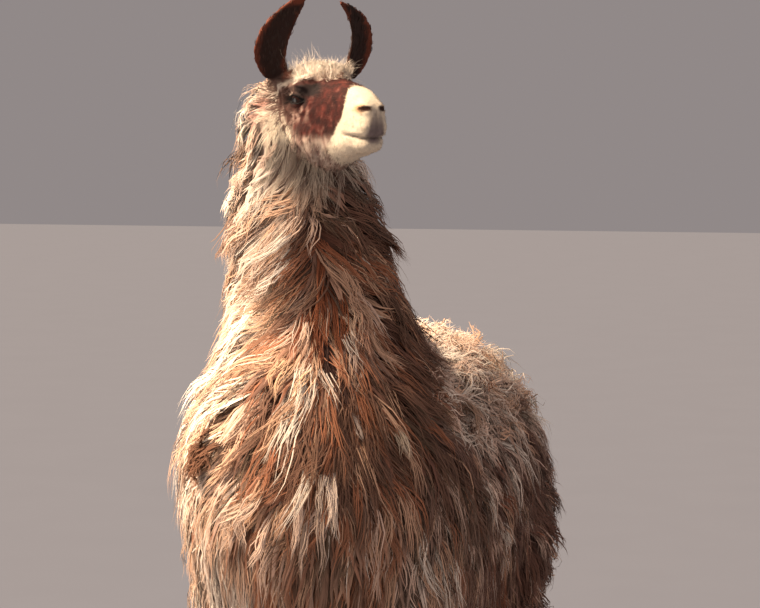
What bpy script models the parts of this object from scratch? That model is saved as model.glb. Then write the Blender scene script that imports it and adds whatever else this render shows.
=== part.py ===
"""A full-size still model of a standing llama in full wool, head turned to its left.

Metres, +Z up. The llama faces -Y and its left side is +X. The solids are drawn out to
the tips of the coat, so the wool is part of each one. Nothing moves: the pieces only
tell the sub-parts of the animal apart, with thin flat cuts between them.
"""

import math

import bmesh
import bpy
from mathutils import Matrix, Vector, noise

GAP = 0.0004  # between neighbouring pieces
HEAD_TURN = math.radians(48)  # of the head to its left, seen from above
EYE_MID = Vector((0.064, -0.555, 0.0))  # on the head's mid-plane, level with the eyes
EYE_Z = 1.5645
EYE_RADIUS = 0.0185
EYE_OUT = 0.0365  # eyeball centre from the mid-plane
LID_OPENING = (0.0165, 0.0200, 0.0078)  # radii of the cutter along, out and up
LID_OUT = 0.0590  # its middle from the mid-plane
LID_TILT = math.radians(6)
NOSTRIL = (0.1610, 0.0175, 1.5505)  # ahead, to the side, height
NOSTRIL_RADII = (0.0125, 0.0095, 0.0042)
MOUTH_CORNER = (0.112, 0, 1.5108)  # ahead, to the side, height
MOUTH_TILT = math.radians(-7.8)
MOUTH_BLOCK = (0.20, 0.20, 0.12)  # long, wide and deep enough to hold the jaw
EAR_ROOT = (-0.030, 0.073, 1.588)  # ahead, to the side, height
EAR_HEIGHT = 0.146  # of the upright ear, root to tip
BENT_EAR_LOSS = 0.012  # the left ear bends over, so it stands lower
NAIL_RADII = (0.0105, 0.0170, 0.0130)
NAIL_AHEAD = 0.047  # of the middle of the sole
NAIL_HEIGHT = 0.0205
TOE_ASIDE = 0.0205  # of the middle of the foot
TOE_RADII = (0.0225, 0.056, 0.034)
KNUCKLE_RADII = (0.0205, 0.038, 0.040)
LUMP_PITCH = 14  # lumps of wool to a metre
LUMP_HEIGHT = 0.012
WOOL_FROM, WOOL_FULL = 0.42, 0.57  # heights where the lumps begin and are full
HEAD_VOXEL, HEAD_ROUNDS, HEAD_TRIANGLES = 0.0035, 12, 2900
BODY_VOXEL, BODY_ROUNDS, BODY_TRIANGLES = 0.007, 14, 3000
BELLY_CUT = 0.560  # the legs are cut from the trunk at this height
FOOT_CUT = 0.110

# Trunk with its wool, from the chest back: y, height of the widest line, reach up,
# reach down, half width, squareness.
TRUNK = (
    (-0.610, 0.930, 0.050, 0.060, 0.050, 2.0),
    (-0.585, 0.930, 0.120, 0.140, 0.115, 2.0),
    (-0.520, 0.930, 0.195, 0.230, 0.185, 2.1),
    (-0.420, 0.935, 0.258, 0.305, 0.236, 2.3),
    (-0.280, 0.925, 0.270, 0.340, 0.254, 2.3),
    (-0.100, 0.905, 0.272, 0.335, 0.262, 2.1),
    (0.100, 0.890, 0.274, 0.320, 0.262, 2.0),
    (0.280, 0.880, 0.267, 0.300, 0.248, 2.0),
    (0.420, 0.865, 0.242, 0.270, 0.220, 2.0),
    (0.530, 0.840, 0.195, 0.220, 0.176, 2.0),
    (0.600, 0.820, 0.120, 0.140, 0.115, 2.0),
    (0.622, 0.810, 0.055, 0.060, 0.050, 2.0),
)
# Neck with its wool, from inside the trunk up: x, y, z, half width, half depth, turn.
NECK = (
    (0.000, -0.300, 0.900, 0.185, 0.240, 0),
    (0.000, -0.330, 1.020, 0.185, 0.225, 0),
    (0.000, -0.353, 1.120, 0.176, 0.203, 5),
    (-0.003, -0.375, 1.220, 0.152, 0.163, 12),
    (-0.005, -0.408, 1.310, 0.139, 0.144, 22),
    (-0.008, -0.438, 1.390, 0.131, 0.129, 34),
    (-0.018, -0.454, 1.460, 0.106, 0.101, 44),
    (-0.014, -0.476, 1.530, 0.084, 0.094, 48),
    (-0.011, -0.485, 1.580, 0.066, 0.076, 48),
    (-0.010, -0.487, 1.605, 0.035, 0.040, 48),
)
# Head, from behind the poll forward: distance ahead of the eyes, height of the widest
# line, reach up, reach down, half width, squareness.
HEAD = (
    (-0.150, 1.545, 0.035, 0.045, 0.040, 2.0),
    (-0.125, 1.545, 0.066, 0.080, 0.062, 2.0),
    (-0.080, 1.548, 0.072, 0.098, 0.068, 2.1),
    (-0.040, 1.548, 0.071, 0.102, 0.064, 2.2),
    (0.000, 1.545, 0.068, 0.098, 0.0560, 2.3),
    (0.035, 1.540, 0.064, 0.088, 0.0480, 2.4),
    (0.065, 1.536, 0.061, 0.076, 0.0405, 2.6),
    (0.092, 1.534, 0.058, 0.065, 0.0360, 2.8),
    (0.120, 1.531, 0.053, 0.052, 0.0325, 2.8),
    (0.142, 1.529, 0.045, 0.042, 0.0290, 2.5),
    (0.157, 1.527, 0.034, 0.031, 0.0230, 2.2),
    (0.167, 1.525, 0.015, 0.015, 0.0120, 2.0),
)
# Forms that stand on the head: ahead, to the side, height, then the three radii.
HEAD_FORMS = (
    (0.144, 0.0110, 1.5225, 0.0250, 0.0180, 0.0200),  # half of the split upper lip
    (0.147, 0.0100, 1.5500, 0.0180, 0.0165, 0.0140),  # wing of the nose
    (0.138, 0.0050, 1.4945, 0.0260, 0.0205, 0.0150),  # chin
    (0.100, 0.0120, 1.5020, 0.0420, 0.0230, 0.0290),  # side of the lower jaw
    (0.000, 0.0280, 1.5060, 0.0640, 0.0310, 0.0530),  # cheek
    (0.003, 0.0360, 1.5650, 0.0270, 0.0245, 0.0200),  # lids round the eye
    (0.002, 0.0450, 1.5860, 0.0300, 0.0140, 0.0110),  # brow over the eye
    (0.020, 0.0400, 1.5440, 0.0340, 0.0135, 0.0110),  # ridge below the eye
    (-0.012, 0.0160, 1.6060, 0.0500, 0.0400, 0.0270),  # forelock
    (-0.042, 0.0420, 1.5900, 0.0380, 0.0330, 0.0310),  # root of the ear
)
# Fore and hind leg, from the trunk down: x, y, z, half width, half depth.
FORELEG = (
    (0.150, -0.310, 0.800, 0.090, 0.130),
    (0.148, -0.320, 0.680, 0.088, 0.120),
    (0.140, -0.330, 0.580, 0.074, 0.098),
    (0.132, -0.337, 0.490, 0.061, 0.077),
    (0.127, -0.344, 0.420, 0.050, 0.058),
    (0.125, -0.348, 0.355, 0.041, 0.046),
    (0.122, -0.346, 0.300, 0.032, 0.036),
    (0.120, -0.344, 0.200, 0.0255, 0.030),
    (0.120, -0.346, 0.135, 0.0285, 0.033),
    (0.120, -0.358, 0.085, 0.0300, 0.035),
    (0.120, -0.375, 0.045, 0.0330, 0.038),
)
HINDLEG = (
    (0.150, 0.380, 0.800, 0.095, 0.170),
    (0.148, 0.385, 0.680, 0.090, 0.155),
    (0.142, 0.400, 0.590, 0.077, 0.120),
    (0.136, 0.425, 0.500, 0.062, 0.086),
    (0.131, 0.455, 0.430, 0.047, 0.064),
    (0.128, 0.470, 0.380, 0.037, 0.052),
    (0.126, 0.466, 0.320, 0.030, 0.039),
    (0.124, 0.456, 0.210, 0.0255, 0.031),
    (0.124, 0.450, 0.135, 0.0285, 0.033),
    (0.124, 0.440, 0.085, 0.0300, 0.035),
    (0.124, 0.424, 0.045, 0.0330, 0.038),
)
FORE_TOES = (0.120, -0.385)  # middle of the foot's sole
HIND_TOES = (0.124, 0.414)
TAIL = (
    (0.0, 0.500, 0.960, 0.045, 0.040),
    (0.0, 0.570, 0.990, 0.056, 0.042),
    (0.0, 0.622, 0.955, 0.062, 0.042),
    (0.0, 0.648, 0.880, 0.060, 0.040),
    (0.0, 0.655, 0.800, 0.044, 0.032),
    (0.0, 0.652, 0.745, 0.018, 0.015),
)
# Ear, root to tip: share of the height, half width, depth of the cup, thickness.
EAR_ROWS = (
    (0.00, 0.0140, 0.0150, 0.0130),
    (0.15, 0.0220, 0.0180, 0.0110),
    (0.38, 0.0270, 0.0145, 0.0090),
    (0.62, 0.0260, 0.0110, 0.0080),
    (0.82, 0.0195, 0.0075, 0.0070),
    (0.94, 0.0115, 0.0040, 0.0055),
    (1.00, 0.0030, 0.0015, 0.0030),
)
# Masses of muscle under the wool: centre, then the three radii. The first two are paired.
SHOULDER = ((0.130, -0.345, 0.925), (0.118, 0.160, 0.240))
THIGH = ((0.140, 0.390, 0.730), (0.112, 0.180, 0.200))
BREAST = ((0, -0.445, 0.975), (0.185, 0.150, 0.265))
WITHERS = ((0, -0.230, 1.080), (0.160, 0.220, 0.110))
# Cuts between the pieces: a point, then the side that is kept.
NECK_PLANE = ((0, -0.190, 1.200), (0, -0.43, 0.90))
NAPE_PLANE = ((0, -0.420, 1.330), (0, -0.38, 0.92))
FRONT_PLANE = ((0, -0.170, 0), (0, -1, 0))
REAR_PLANE = ((0, 0.230, 0), (0, 1, 0))
BELLY_PLANE = ((0, 0, BELLY_CUT), (0, 0, 1))
FOOT_PLANE = ((0, 0, FOOT_CUT), (0, 0, 1))
FLOOR = ((0, 0, -GAP / 2), (0, 0, 1))


# --- helpers -----------------------------------------------------------------------


def linear(hex_colour):
    """Linear RGBA of an sRGB hex colour."""
    made = []
    for i in (1, 3, 5):
        c = int(hex_colour[i : i + 2], 16) / 255
        made.append(c / 12.92 if c <= 0.04045 else ((c + 0.055) / 1.055) ** 2.4)
    return [*made, 1.0]


def give_material(obj, name, hex_colour, roughness):
    made = bpy.data.materials.new(name)
    made.use_nodes = True
    surface = made.node_tree.nodes["Principled BSDF"]
    surface.inputs["Base Color"].default_value = linear(hex_colour)
    surface.inputs["Roughness"].default_value = roughness
    surface.inputs["Metallic"].default_value = 0.0
    made.diffuse_color = linear(hex_colour)
    obj.data.materials.clear()
    obj.data.materials.append(made)


def face_out(obj):
    bm = bmesh.new()
    bm.from_mesh(obj.data)
    bmesh.ops.recalc_face_normals(bm, faces=bm.faces)
    bm.to_mesh(obj.data)
    bm.free()


def add_object(name, points, faces):
    mesh = bpy.data.meshes.new(name)
    mesh.from_pydata([tuple(p) for p in points], [], faces)
    obj = bpy.data.objects.new(name, mesh)
    bpy.context.collection.objects.link(obj)
    face_out(obj)
    return obj


def between(p, q, r, s, t):
    """A value between q and r on a smooth curve through p, q, r and s."""
    first = 2 * q + t * (r - p)
    second = t * t * (2 * p - 5 * q + 4 * r - s)
    third = t**3 * (3 * q - p - 3 * r + s)
    return 0.5 * (first + second + third)


def smooth_rows(rows, steps):
    """Rows between the given ones, on a smooth curve through them."""
    made = []
    last = len(rows) - 1
    for i in range(last):
        around = [rows[max(0, min(last, j))] for j in (i - 1, i, i + 1, i + 2)]
        for k in range(steps):
            made.append([between(*values, k / steps) for values in zip(*around)])
    made.append(list(rows[-1]))
    return made


def ring(centre, side, up, width, above, below, power, count):
    """Points of one rounded section in the plane of side and up."""
    made = []
    for k in range(count):
        turn = 2 * math.pi * k / count
        c, s = math.cos(turn), math.sin(turn)
        x = width * math.copysign(abs(c) ** (2 / power), c)
        z = (above if s > 0 else below) * math.copysign(abs(s) ** (2 / power), s)
        made.append(centre + side * x + up * z)
    return made


def loft(name, rings):
    """A closed body through rings of the same number of points."""
    count = len(rings[0])
    faces = [tuple(range(count)), tuple((len(rings) - 1) * count + k for k in range(count))]
    for i in range(len(rings) - 1):
        for k in range(count):
            a, b = i * count + k, i * count + (k + 1) % count
            faces.append((a, b, b + count, a + count))
    return add_object(name, [p for points in rings for p in points], faces)


def column(name, rows, count, turn=0.0, steps=4):
    """A body along a bent line: rows of x, y, z, half width, half depth."""
    rows = smooth_rows(rows, steps)
    rings = []
    for i, row in enumerate(rows):
        before, after = rows[max(0, i - 1)], rows[min(len(rows) - 1, i + 1)]
        along = (Vector(after[:3]) - Vector(before[:3])).normalized()
        angle = math.radians(row[5]) if len(row) > 5 else turn
        side = Vector((math.cos(angle), math.sin(angle), 0))
        side = (side - along * side.dot(along)).normalized()
        centre, up, depth = Vector(row[:3]), along.cross(side), row[4]
        rings.append(ring(centre, side, up, row[3], depth, depth, 2.0, count))
    return loft(name, rings)


def ball(name, centre, radii, matrix=None, segments=20):
    bpy.ops.mesh.primitive_uv_sphere_add(segments=segments, ring_count=segments // 2 + 1, radius=1)
    obj = bpy.context.object
    obj.name = name
    place = (matrix or Matrix.Identity(4)).to_3x3().to_4x4()
    obj.matrix_world = Matrix.Translation(centre) @ place @ Matrix.Diagonal((*radii, 1))
    bpy.ops.object.transform_apply()
    face_out(obj)
    return obj


def only(objects):
    bpy.ops.object.select_all(action="DESELECT")
    for obj in objects:
        obj.select_set(True)
    bpy.context.view_layer.objects.active = objects[0]


def apply_modifiers(obj):
    only([obj])
    for modifier in list(obj.modifiers):
        bpy.ops.object.modifier_apply(modifier=modifier.name)


def fused(name, objects, voxel, rounds):
    """One closed skin over overlapping bodies, smoothed."""
    only(objects)
    bpy.ops.object.join()
    obj = bpy.context.object
    obj.name = name
    wrap = obj.modifiers.new("wrap", "REMESH")
    wrap.mode = "VOXEL"
    wrap.voxel_size = voxel
    soften = obj.modifiers.new("soften", "SMOOTH")
    soften.factor = 0.5
    soften.iterations = rounds
    apply_modifiers(obj)
    return obj


def thinned(obj, triangles):
    fewer = obj.modifiers.new("fewer", "DECIMATE")
    fewer.ratio = triangles / (2 * len(obj.data.polygons))
    fewer.use_collapse_triangulate = True
    apply_modifiers(obj)


def part_between(name, whole, planes):
    """What lies on the side of each plane that its normal points to, less half a gap."""
    obj = whole.copy()
    obj.data = whole.data.copy()
    obj.name = name
    bpy.context.collection.objects.link(obj)
    only([obj])
    bpy.ops.object.mode_set(mode="EDIT")
    for point, normal in planes:
        normal = Vector(normal).normalized()
        bpy.ops.mesh.select_all(action="SELECT")
        bpy.ops.mesh.bisect(
            plane_co=Vector(point) + normal * GAP / 2,
            plane_no=normal,
            use_fill=True,
            clear_inner=True,
            threshold=1e-6,
        )
    bpy.ops.mesh.select_all(action="SELECT")
    bpy.ops.mesh.quads_convert_to_tris(quad_method="BEAUTY", ngon_method="BEAUTY")
    bpy.ops.object.mode_set(mode="OBJECT")
    return obj


def other_side(plane):
    return (plane[0], tuple(-n for n in plane[1]))


def boolean(obj, cutter, operation, grow=0.0):
    """Cuts with a copy of cutter, grown by a hair's gap where asked."""
    tool = cutter.copy()
    tool.data = cutter.data.copy()
    bpy.context.collection.objects.link(tool)
    if grow:
        swell = tool.modifiers.new("swell", "DISPLACE")
        swell.strength = grow
        swell.mid_level = 0.0
        apply_modifiers(tool)
    cut = obj.modifiers.new("cut", "BOOLEAN")
    cut.operation = operation
    cut.solver = "EXACT"
    cut.object = tool
    apply_modifiers(obj)
    bpy.data.objects.remove(tool)


def largest_body(obj):
    """Drops crumbs that a cut leaves beside the piece."""
    bm = bmesh.new()
    bm.from_mesh(obj.data)
    bmesh.ops.remove_doubles(bm, verts=bm.verts, dist=1e-6)
    left = set(bm.verts)
    bodies = []
    while left:
        stack, body = [left.pop()], []
        while stack:
            vert = stack.pop()
            body.append(vert)
            for edge in vert.link_edges:
                other = edge.other_vert(vert)
                if other in left:
                    left.discard(other)
                    stack.append(other)
        bodies.append(body)
    bodies.sort(key=len)
    for body in bodies[:-1]:
        bmesh.ops.delete(bm, geom=body, context="VERTS")
    bm.to_mesh(obj.data)
    bm.free()


def head_point(ahead, right, z):
    """A place on the head: metres ahead of the eyes and to the llama's right."""
    forward = Vector((math.sin(HEAD_TURN), -math.cos(HEAD_TURN), 0))
    to_right = Vector((-math.cos(HEAD_TURN), -math.sin(HEAD_TURN), 0))
    return EYE_MID + forward * ahead + to_right * right + Vector((0, 0, z))


FORWARD = head_point(1, 0, 0) - head_point(0, 0, 0)
RIGHT = head_point(0, 1, 0) - head_point(0, 0, 0)
UP = Vector((0, 0, 1))
HEAD_AXES = Matrix((FORWARD, RIGHT, UP)).transposed()


def neck_body():
    return column("neck_form", NECK, 40)


def mouth_block(name, inset):
    """A block whose top lies along the mouth and whose back stands behind its corners."""
    along = FORWARD * math.cos(MOUTH_TILT) + UP * math.sin(MOUTH_TILT)
    over = UP * math.cos(MOUTH_TILT) - FORWARD * math.sin(MOUTH_TILT)
    corner = head_point(*MOUTH_CORNER) + (along - over) * inset
    bpy.ops.mesh.primitive_cube_add(size=1)
    block = bpy.context.object
    block.name = name
    long, wide, deep = MOUTH_BLOCK
    axes = Matrix((along * long, RIGHT * wide, over * deep)).transposed().to_4x4()
    middle = corner + along * long / 2 - over * deep / 2
    block.matrix_world = Matrix.Translation(middle) @ axes
    bpy.ops.object.transform_apply()
    face_out(block)
    return block


# --- head, jaw, eyes and ears --------------------------------------------------------

for old in list(bpy.data.objects):
    bpy.data.objects.remove(old)

# The head's own forms, wrapped together with the top of the neck.
rings = []
for ahead, middle, above, below, width, power in smooth_rows(HEAD, 4):
    rings.append(ring(head_point(ahead, 0, middle), RIGHT, UP, width, above, below, power, 40))
forms = [loft("skull", rings), neck_body()]
for ahead, aside, z, along, across, upright in HEAD_FORMS:
    for sign in (-1, 1):
        centre = head_point(ahead, sign * aside, z)
        forms.append(ball("form", centre, (along, across, upright), HEAD_AXES))
head_whole = fused("head_whole", forms, HEAD_VOXEL, HEAD_ROUNDS)
thinned(head_whole, HEAD_TRIANGLES)
HEAD_PLANE = (head_point(-0.118, 0, 1.62), FORWARD * 0.80 + UP * 0.60)
head = part_between("head", head_whole, [HEAD_PLANE])
bpy.data.objects.remove(head_whole)

# Eyes in their sockets, with an almond-shaped opening between the lids.
for side, sign in (("right", 1), ("left", -1)):
    eye = ball(f"eye_{side}", head_point(0.002, sign * EYE_OUT, EYE_Z), [EYE_RADIUS] * 3, segments=14)
    boolean(head, eye, "DIFFERENCE", grow=GAP)
    out = FORWARD * 0.20 + RIGHT * sign * 0.98
    along = Vector(FORWARD * 0.98 - RIGHT * sign * 0.20)
    slant = Matrix((along, out, UP)).transposed() @ Matrix.Rotation(LID_TILT, 3, "Y")
    lids = ball("lids", head_point(0.005, sign * LID_OUT, EYE_Z), LID_OPENING, slant, 14)
    boolean(head, lids, "DIFFERENCE")
    bpy.data.objects.remove(lids)
    along = Vector(FORWARD * 0.87 - RIGHT * sign * 0.49)
    slant = Matrix((along, Vector(FORWARD * 0.49 + RIGHT * sign * 0.87), UP)).transposed()
    place = head_point(NOSTRIL[0], sign * NOSTRIL[1], NOSTRIL[2])
    nostril = ball("nostril", place, NOSTRIL_RADII, slant, 12)
    boolean(head, nostril, "DIFFERENCE")
    bpy.data.objects.remove(nostril)

# The lower jaw is what lies under the line of the mouth.
lower_jaw = head.copy()
lower_jaw.data = head.data.copy()
lower_jaw.name = "lower_jaw"
bpy.context.collection.objects.link(lower_jaw)
for obj, kind, inset in ((lower_jaw, "INTERSECT", GAP), (head, "DIFFERENCE", 0)):
    block = mouth_block("mouth_block", inset)
    boolean(obj, block, kind)
    bpy.data.objects.remove(block)

# Ears: cupped, banana-shaped, their tips leaning forward and towards each other.
for side, sign in (("right", 1), ("left", -1)):
    opening = FORWARD * 0.94 + RIGHT * sign * 0.34
    across = RIGHT * sign * 0.94 - FORWARD * 0.34
    height = EAR_HEIGHT if side == "right" else EAR_HEIGHT - BENT_EAR_LOSS
    rings = []
    for share, half, cup, thick in smooth_rows(EAR_ROWS, 2):
        lean = 0.039 * share**1.8
        hook = 0.036 * share**2.2  # towards the other ear
        if side == "left":  # this one stays broad and turns in sharply at the tip
            hook = 0.044 * share**6
            half *= 1 + max(0, share - 0.6)
        sway = 0.015 * math.sin(math.pi * share) - hook - 0.018 * (1 - share) ** 8
        at = EAR_ROOT
        root = head_point(at[0] + lean, sign * (at[1] + sway), at[2] + height * share)
        back, front = [], []
        for k in range(7):
            x = -1 + k / 3
            bow = 1 - x * x
            edge = root + across * half * x
            back.append(edge - opening * (cup * bow + 0.001))
            front.append(edge - opening * (cup * bow - thick * math.sqrt(bow) - 0.001))
        rings.append(back + front[::-1])
    ear = loft(f"ear_{side}", rings)
    boolean(ear, head, "DIFFERENCE", grow=GAP)
    largest_body(ear)

# --- body, legs, nails and tail --------------------------------------------------------

# Trunk, neck and legs, wrapped together.
rings = []
for y, middle, above, below, width, power in smooth_rows(TRUNK, 4):
    rings.append(ring(Vector((0, y, middle)), Vector((1, 0, 0)), UP, width, above, below, power, 56))
forms = [loft("barrel", rings), neck_body()]
for sign in (-1, 1):
    for rows, toes in ((FORELEG, FORE_TOES), (HINDLEG, HIND_TOES)):
        forms.append(column("leg", [(sign * r[0], *r[1:]) for r in rows], 24))
        for side in (-1, 1):
            place = Vector((sign * toes[0] + side * TOE_ASIDE, toes[1], 0.020))
            forms.append(ball("toe", place, TOE_RADII))
            forms.append(ball("toe", place + Vector((0, 0.018, 0.012)), KNUCKLE_RADII))
    for name, (centre, radii) in (("shoulder", SHOULDER), ("thigh", THIGH)):
        forms.append(ball(name, (sign * centre[0], *centre[1:]), radii))
forms.append(ball("breast", *BREAST))
forms.append(ball("withers", *WITHERS))
body = fused("body", forms, BODY_VOXEL, BODY_ROUNDS)

# The wool lies in clumps, so its outline is gently uneven above the knees.
bm = bmesh.new()
bm.from_mesh(body.data)
bm.normal_update()
for vert in bm.verts:
    woolly = max(0.0, min(1.0, (vert.co.z - WOOL_FROM) / (WOOL_FULL - WOOL_FROM)))
    lump = noise.noise(Vector((vert.co.x, vert.co.y, vert.co.z * 0.55)) * LUMP_PITCH)
    vert.co += vert.normal * lump * LUMP_HEIGHT * woolly
bm.to_mesh(body.data)
bm.free()
thinned(body, BODY_TRIANGLES)

part_between("neck_upper", body, [other_side(HEAD_PLANE), NAPE_PLANE])
part_between("neck_lower", body, [other_side(NAPE_PLANE), NECK_PLANE])
part_between("trunk_fore", body, [other_side(NECK_PLANE), BELLY_PLANE, FRONT_PLANE])
middle_limits = [other_side(NECK_PLANE), BELLY_PLANE, other_side(FRONT_PLANE), other_side(REAR_PLANE)]
part_between("trunk_middle", body, middle_limits)
trunk_hind = part_between("trunk_hind", body, [BELLY_PLANE, REAR_PLANE])
for side, sign in (("left", 1), ("right", -1)):
    half = ((0, 0, 0), (sign, 0, 0))
    for end, way, toes in (("fore", -1, FORE_TOES), ("hind", 1, HIND_TOES)):
        limits = [half, ((0, 0, 0), (0, way, 0)), other_side(BELLY_PLANE)]
        leg = part_between(f"{end}leg_{side}", body, [*limits, FOOT_PLANE])
        largest_body(leg)
        limits = [*limits[:2], other_side(FOOT_PLANE), FLOOR]
        foot = part_between(f"{end}foot_{side}", body, limits)
        for toe, aside in (("outer", TOE_ASIDE), ("inner", -TOE_ASIDE)):
            place = (sign * (toes[0] + aside), toes[1] - NAIL_AHEAD, NAIL_HEIGHT)
            nail = ball(f"toenail_{end}_{side}_{toe}", place, NAIL_RADII, segments=8)
            boolean(foot, nail, "DIFFERENCE", grow=GAP)

tail = column("tail", TAIL, 14, steps=2)
boolean(tail, trunk_hind, "DIFFERENCE", grow=GAP)
largest_body(tail)
bpy.data.objects.remove(body)

# --- colours, one material for each piece ---------------------------------------------

LOOKS = (
    ("toenail", "worn horn", "#3A302A", 0.55),
    ("eye", "wet eye", "#1A0E0A", 0.12),
    ("ear", "short dark hair", "#2A1416", 0.85),
    ("head", "face hair", "#B79A88", 0.85),
    ("lower_jaw", "white face hair", "#F3E6D0", 0.85),
    ("neck", "neck wool", "#A67C5E", 0.9),
    ("trunk", "body wool", "#9A7B68", 0.9),
    ("tail", "tail wool", "#9A7860", 0.9),
    ("foreleg", "leg wool", "#A98E78", 0.9),
    ("hindleg", "leg wool", "#A98E78", 0.9),
    ("forefoot", "short leg hair", "#CDB9A2", 0.85),
    ("hindfoot", "short leg hair", "#CDB9A2", 0.85),
)
for obj in bpy.data.objects:
    for start, look, colour, rough in LOOKS:
        if obj.name.startswith(start):
            give_material(obj, f"{look} {obj.name}", colour, rough)
            break

# The origin goes to the middle of the whole model's box, on the floor.
corners = [obj.matrix_world @ v.co for obj in bpy.data.objects for v in obj.data.vertices]
middle = [(min(c[i] for c in corners) + max(c[i] for c in corners)) / 2 for i in (0, 1)]
for obj in bpy.data.objects:
    obj.data.transform(Matrix.Translation((-middle[0], -middle[1], 0)))
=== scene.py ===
"""Looks of a full-size still model of a standing llama in full wool, head turned to its left.

Metres, +Z up. The llama faces -Y and its left side is +X. One skin replaces the nodes of
flesh. The coat stands on it as solid mesh locks, and the eyes and toenails are their own.
"""
import math

import bmesh
import bpy
import numpy as np
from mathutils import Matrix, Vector
from mathutils.bvhtree import BVHTree


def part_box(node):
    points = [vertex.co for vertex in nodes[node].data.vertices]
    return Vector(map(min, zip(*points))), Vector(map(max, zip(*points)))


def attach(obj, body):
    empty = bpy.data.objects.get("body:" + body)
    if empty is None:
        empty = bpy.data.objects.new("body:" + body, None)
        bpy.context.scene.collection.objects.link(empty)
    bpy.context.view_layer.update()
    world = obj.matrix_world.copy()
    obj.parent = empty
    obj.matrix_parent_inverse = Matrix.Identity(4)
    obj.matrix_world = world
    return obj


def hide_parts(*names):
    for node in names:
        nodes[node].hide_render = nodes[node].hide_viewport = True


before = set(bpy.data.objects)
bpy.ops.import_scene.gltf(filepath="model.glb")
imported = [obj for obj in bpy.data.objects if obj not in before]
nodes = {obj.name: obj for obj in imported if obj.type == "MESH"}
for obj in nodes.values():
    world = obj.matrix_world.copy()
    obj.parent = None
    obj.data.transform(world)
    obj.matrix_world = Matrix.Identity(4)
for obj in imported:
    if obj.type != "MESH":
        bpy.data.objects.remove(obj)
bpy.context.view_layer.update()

# --- The hide --------------------------------------------------------------------------
# The whole animal is one unbroken skin from lips to toes. It lies under the tips of the
# coat by the coat's depth, and it carries the flat short hair of the face, ears and shins
# itself. The lids, the split upper lip and the mouth are folds of this skin.

UP = Vector((0, 0, 1))
HEAD_CUT = 1.432  # above this height the skin is drawn finely
LEG_CUT = 0.450  # and below this one in steps between fine and coarse
FINE, MEDIUM, COARSE = ((0.0029, 0.0052, 0.0125))
low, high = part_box("eye_right")
eye_right = (low + high) / 2
low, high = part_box("eye_left")
eye_left = (low + high) / 2
EYES = (eye_right + eye_left) / 2
EYE_RADIUS = (high.z - low.z) / 2
BOTH_EYES = ((eye_right, 1), (eye_left, -1))  # the centre of each, and its sign along RIGHT
RIGHT = (eye_right - eye_left).normalized()
AHEAD = UP.cross(RIGHT)


def head_space(points):
    """Metres ahead of the eyes, metres to the animal's right, and height."""
    rel = points - np.array(EYES)
    return rel @ np.array(AHEAD), rel @ np.array(RIGHT), points[:, 2]


def ramp(value, start, end):
    """0 before start, 1 after end, smooth between. It also runs downwards."""
    share = np.clip((value - start) / (end - start), 0, 1)
    return share * share * (3 - 2 * share)


def hump(value, middle, reach):
    """1 at the middle, falling smoothly to 0 at the reach on both sides."""
    return ramp(np.abs(value - middle), reach, 0)


SCATTER = (73856093, 19349663, 83492791, 1274126177)  # odd numbers that mix the noise's cells
LEVELS = 65521


def cloud(points, size, seed):
    """Smooth noise from -1 to 1, with lumps of about that size."""
    place = points / size + seed * 7.31
    cell = np.floor(place).astype(np.int64)
    part = place - cell
    part = part * part * (3 - 2 * part)
    total = np.zeros(len(points))
    for corner in range(8):
        step = np.array([corner & 1, corner >> 1 & 1, corner >> 2])
        at = cell + step
        key = (at[:, 0] * SCATTER[0]) ^ (at[:, 1] * SCATTER[1]) ^ (at[:, 2] * SCATTER[2])
        key = (key ^ (key >> 13)) * SCATTER[3] & 0x7FFFFFFF
        share = np.prod(np.where(step == 1, part, 1 - part), axis=1)
        total += share * ((key ^ (key >> 16)) % LEVELS / LEVELS)
    return total * 2 - 1


def ear_share(points):
    """1 on the ears, 0 elsewhere."""
    ahead, right, z = head_space(points)
    root = ramp(z, 1.594, 1.600) * ramp(abs(right), 0.050, 0.056)
    return np.where(ahead > -0.12, np.maximum(ramp(z, 1.638, 1.644), root), 0)


def head_share(points):
    """1 on the head, 0 below its wool on the neck."""
    ahead, _, z = head_space(points)
    return np.maximum(ramp(z, 1.43, 1.50), ramp(ahead, 0.0, 0.03) * (z > 1.42))


BARE_SKIN, EAR_NAP = (0.003, 0.0006)  # depth of the coat on the feet and on the ears


def coat_depth(points):
    """How far the tips of the coat lie above the skin, from 32 mm on the trunk to 2 mm on the muzzle."""
    ahead, _, z = head_space(points)
    body = BARE_SKIN + 0.005 * ramp(z, 0.12, 0.34) + 0.024 * ramp(z, 0.36, 0.58)
    on_tail = ramp(points[:, 1], 0.59, 0.62) * ramp(z, 0.70, 0.74)
    body = body * (1 - on_tail) + on_tail * np.interp(z, (0.74, 0.86), (0.008, 0.018))
    back_to_front = (-0.14, -0.09, -0.04, 0.01, 0.05, 0.10)
    face = np.interp(ahead, back_to_front, (0.024, 0.016, 0.008, 0.0035, 0.0022, 0.0016))
    face += 0.013 * ramp(z, 1.600, 1.617) * ramp(ahead, 0.035, 0.008)  # the forelock
    share = head_share(points)
    depth = body * (1 - share) + face * share
    return depth * (1 - ear_share(points)) + EAR_NAP * ear_share(points)


def select_only(*pieces):
    """Selects those pieces and nothing else, and makes the last of them active."""
    bpy.ops.object.select_all(action="DESELECT")
    for piece in pieces:
        piece.select_set(True)
        bpy.context.view_layer.objects.active = piece


def new_object(name, mesh):
    made = bpy.data.objects.new(name, mesh)
    bpy.context.scene.collection.objects.link(made)
    return made


SWELL = 0.0008  # closes the thin cuts between the nodes


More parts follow.
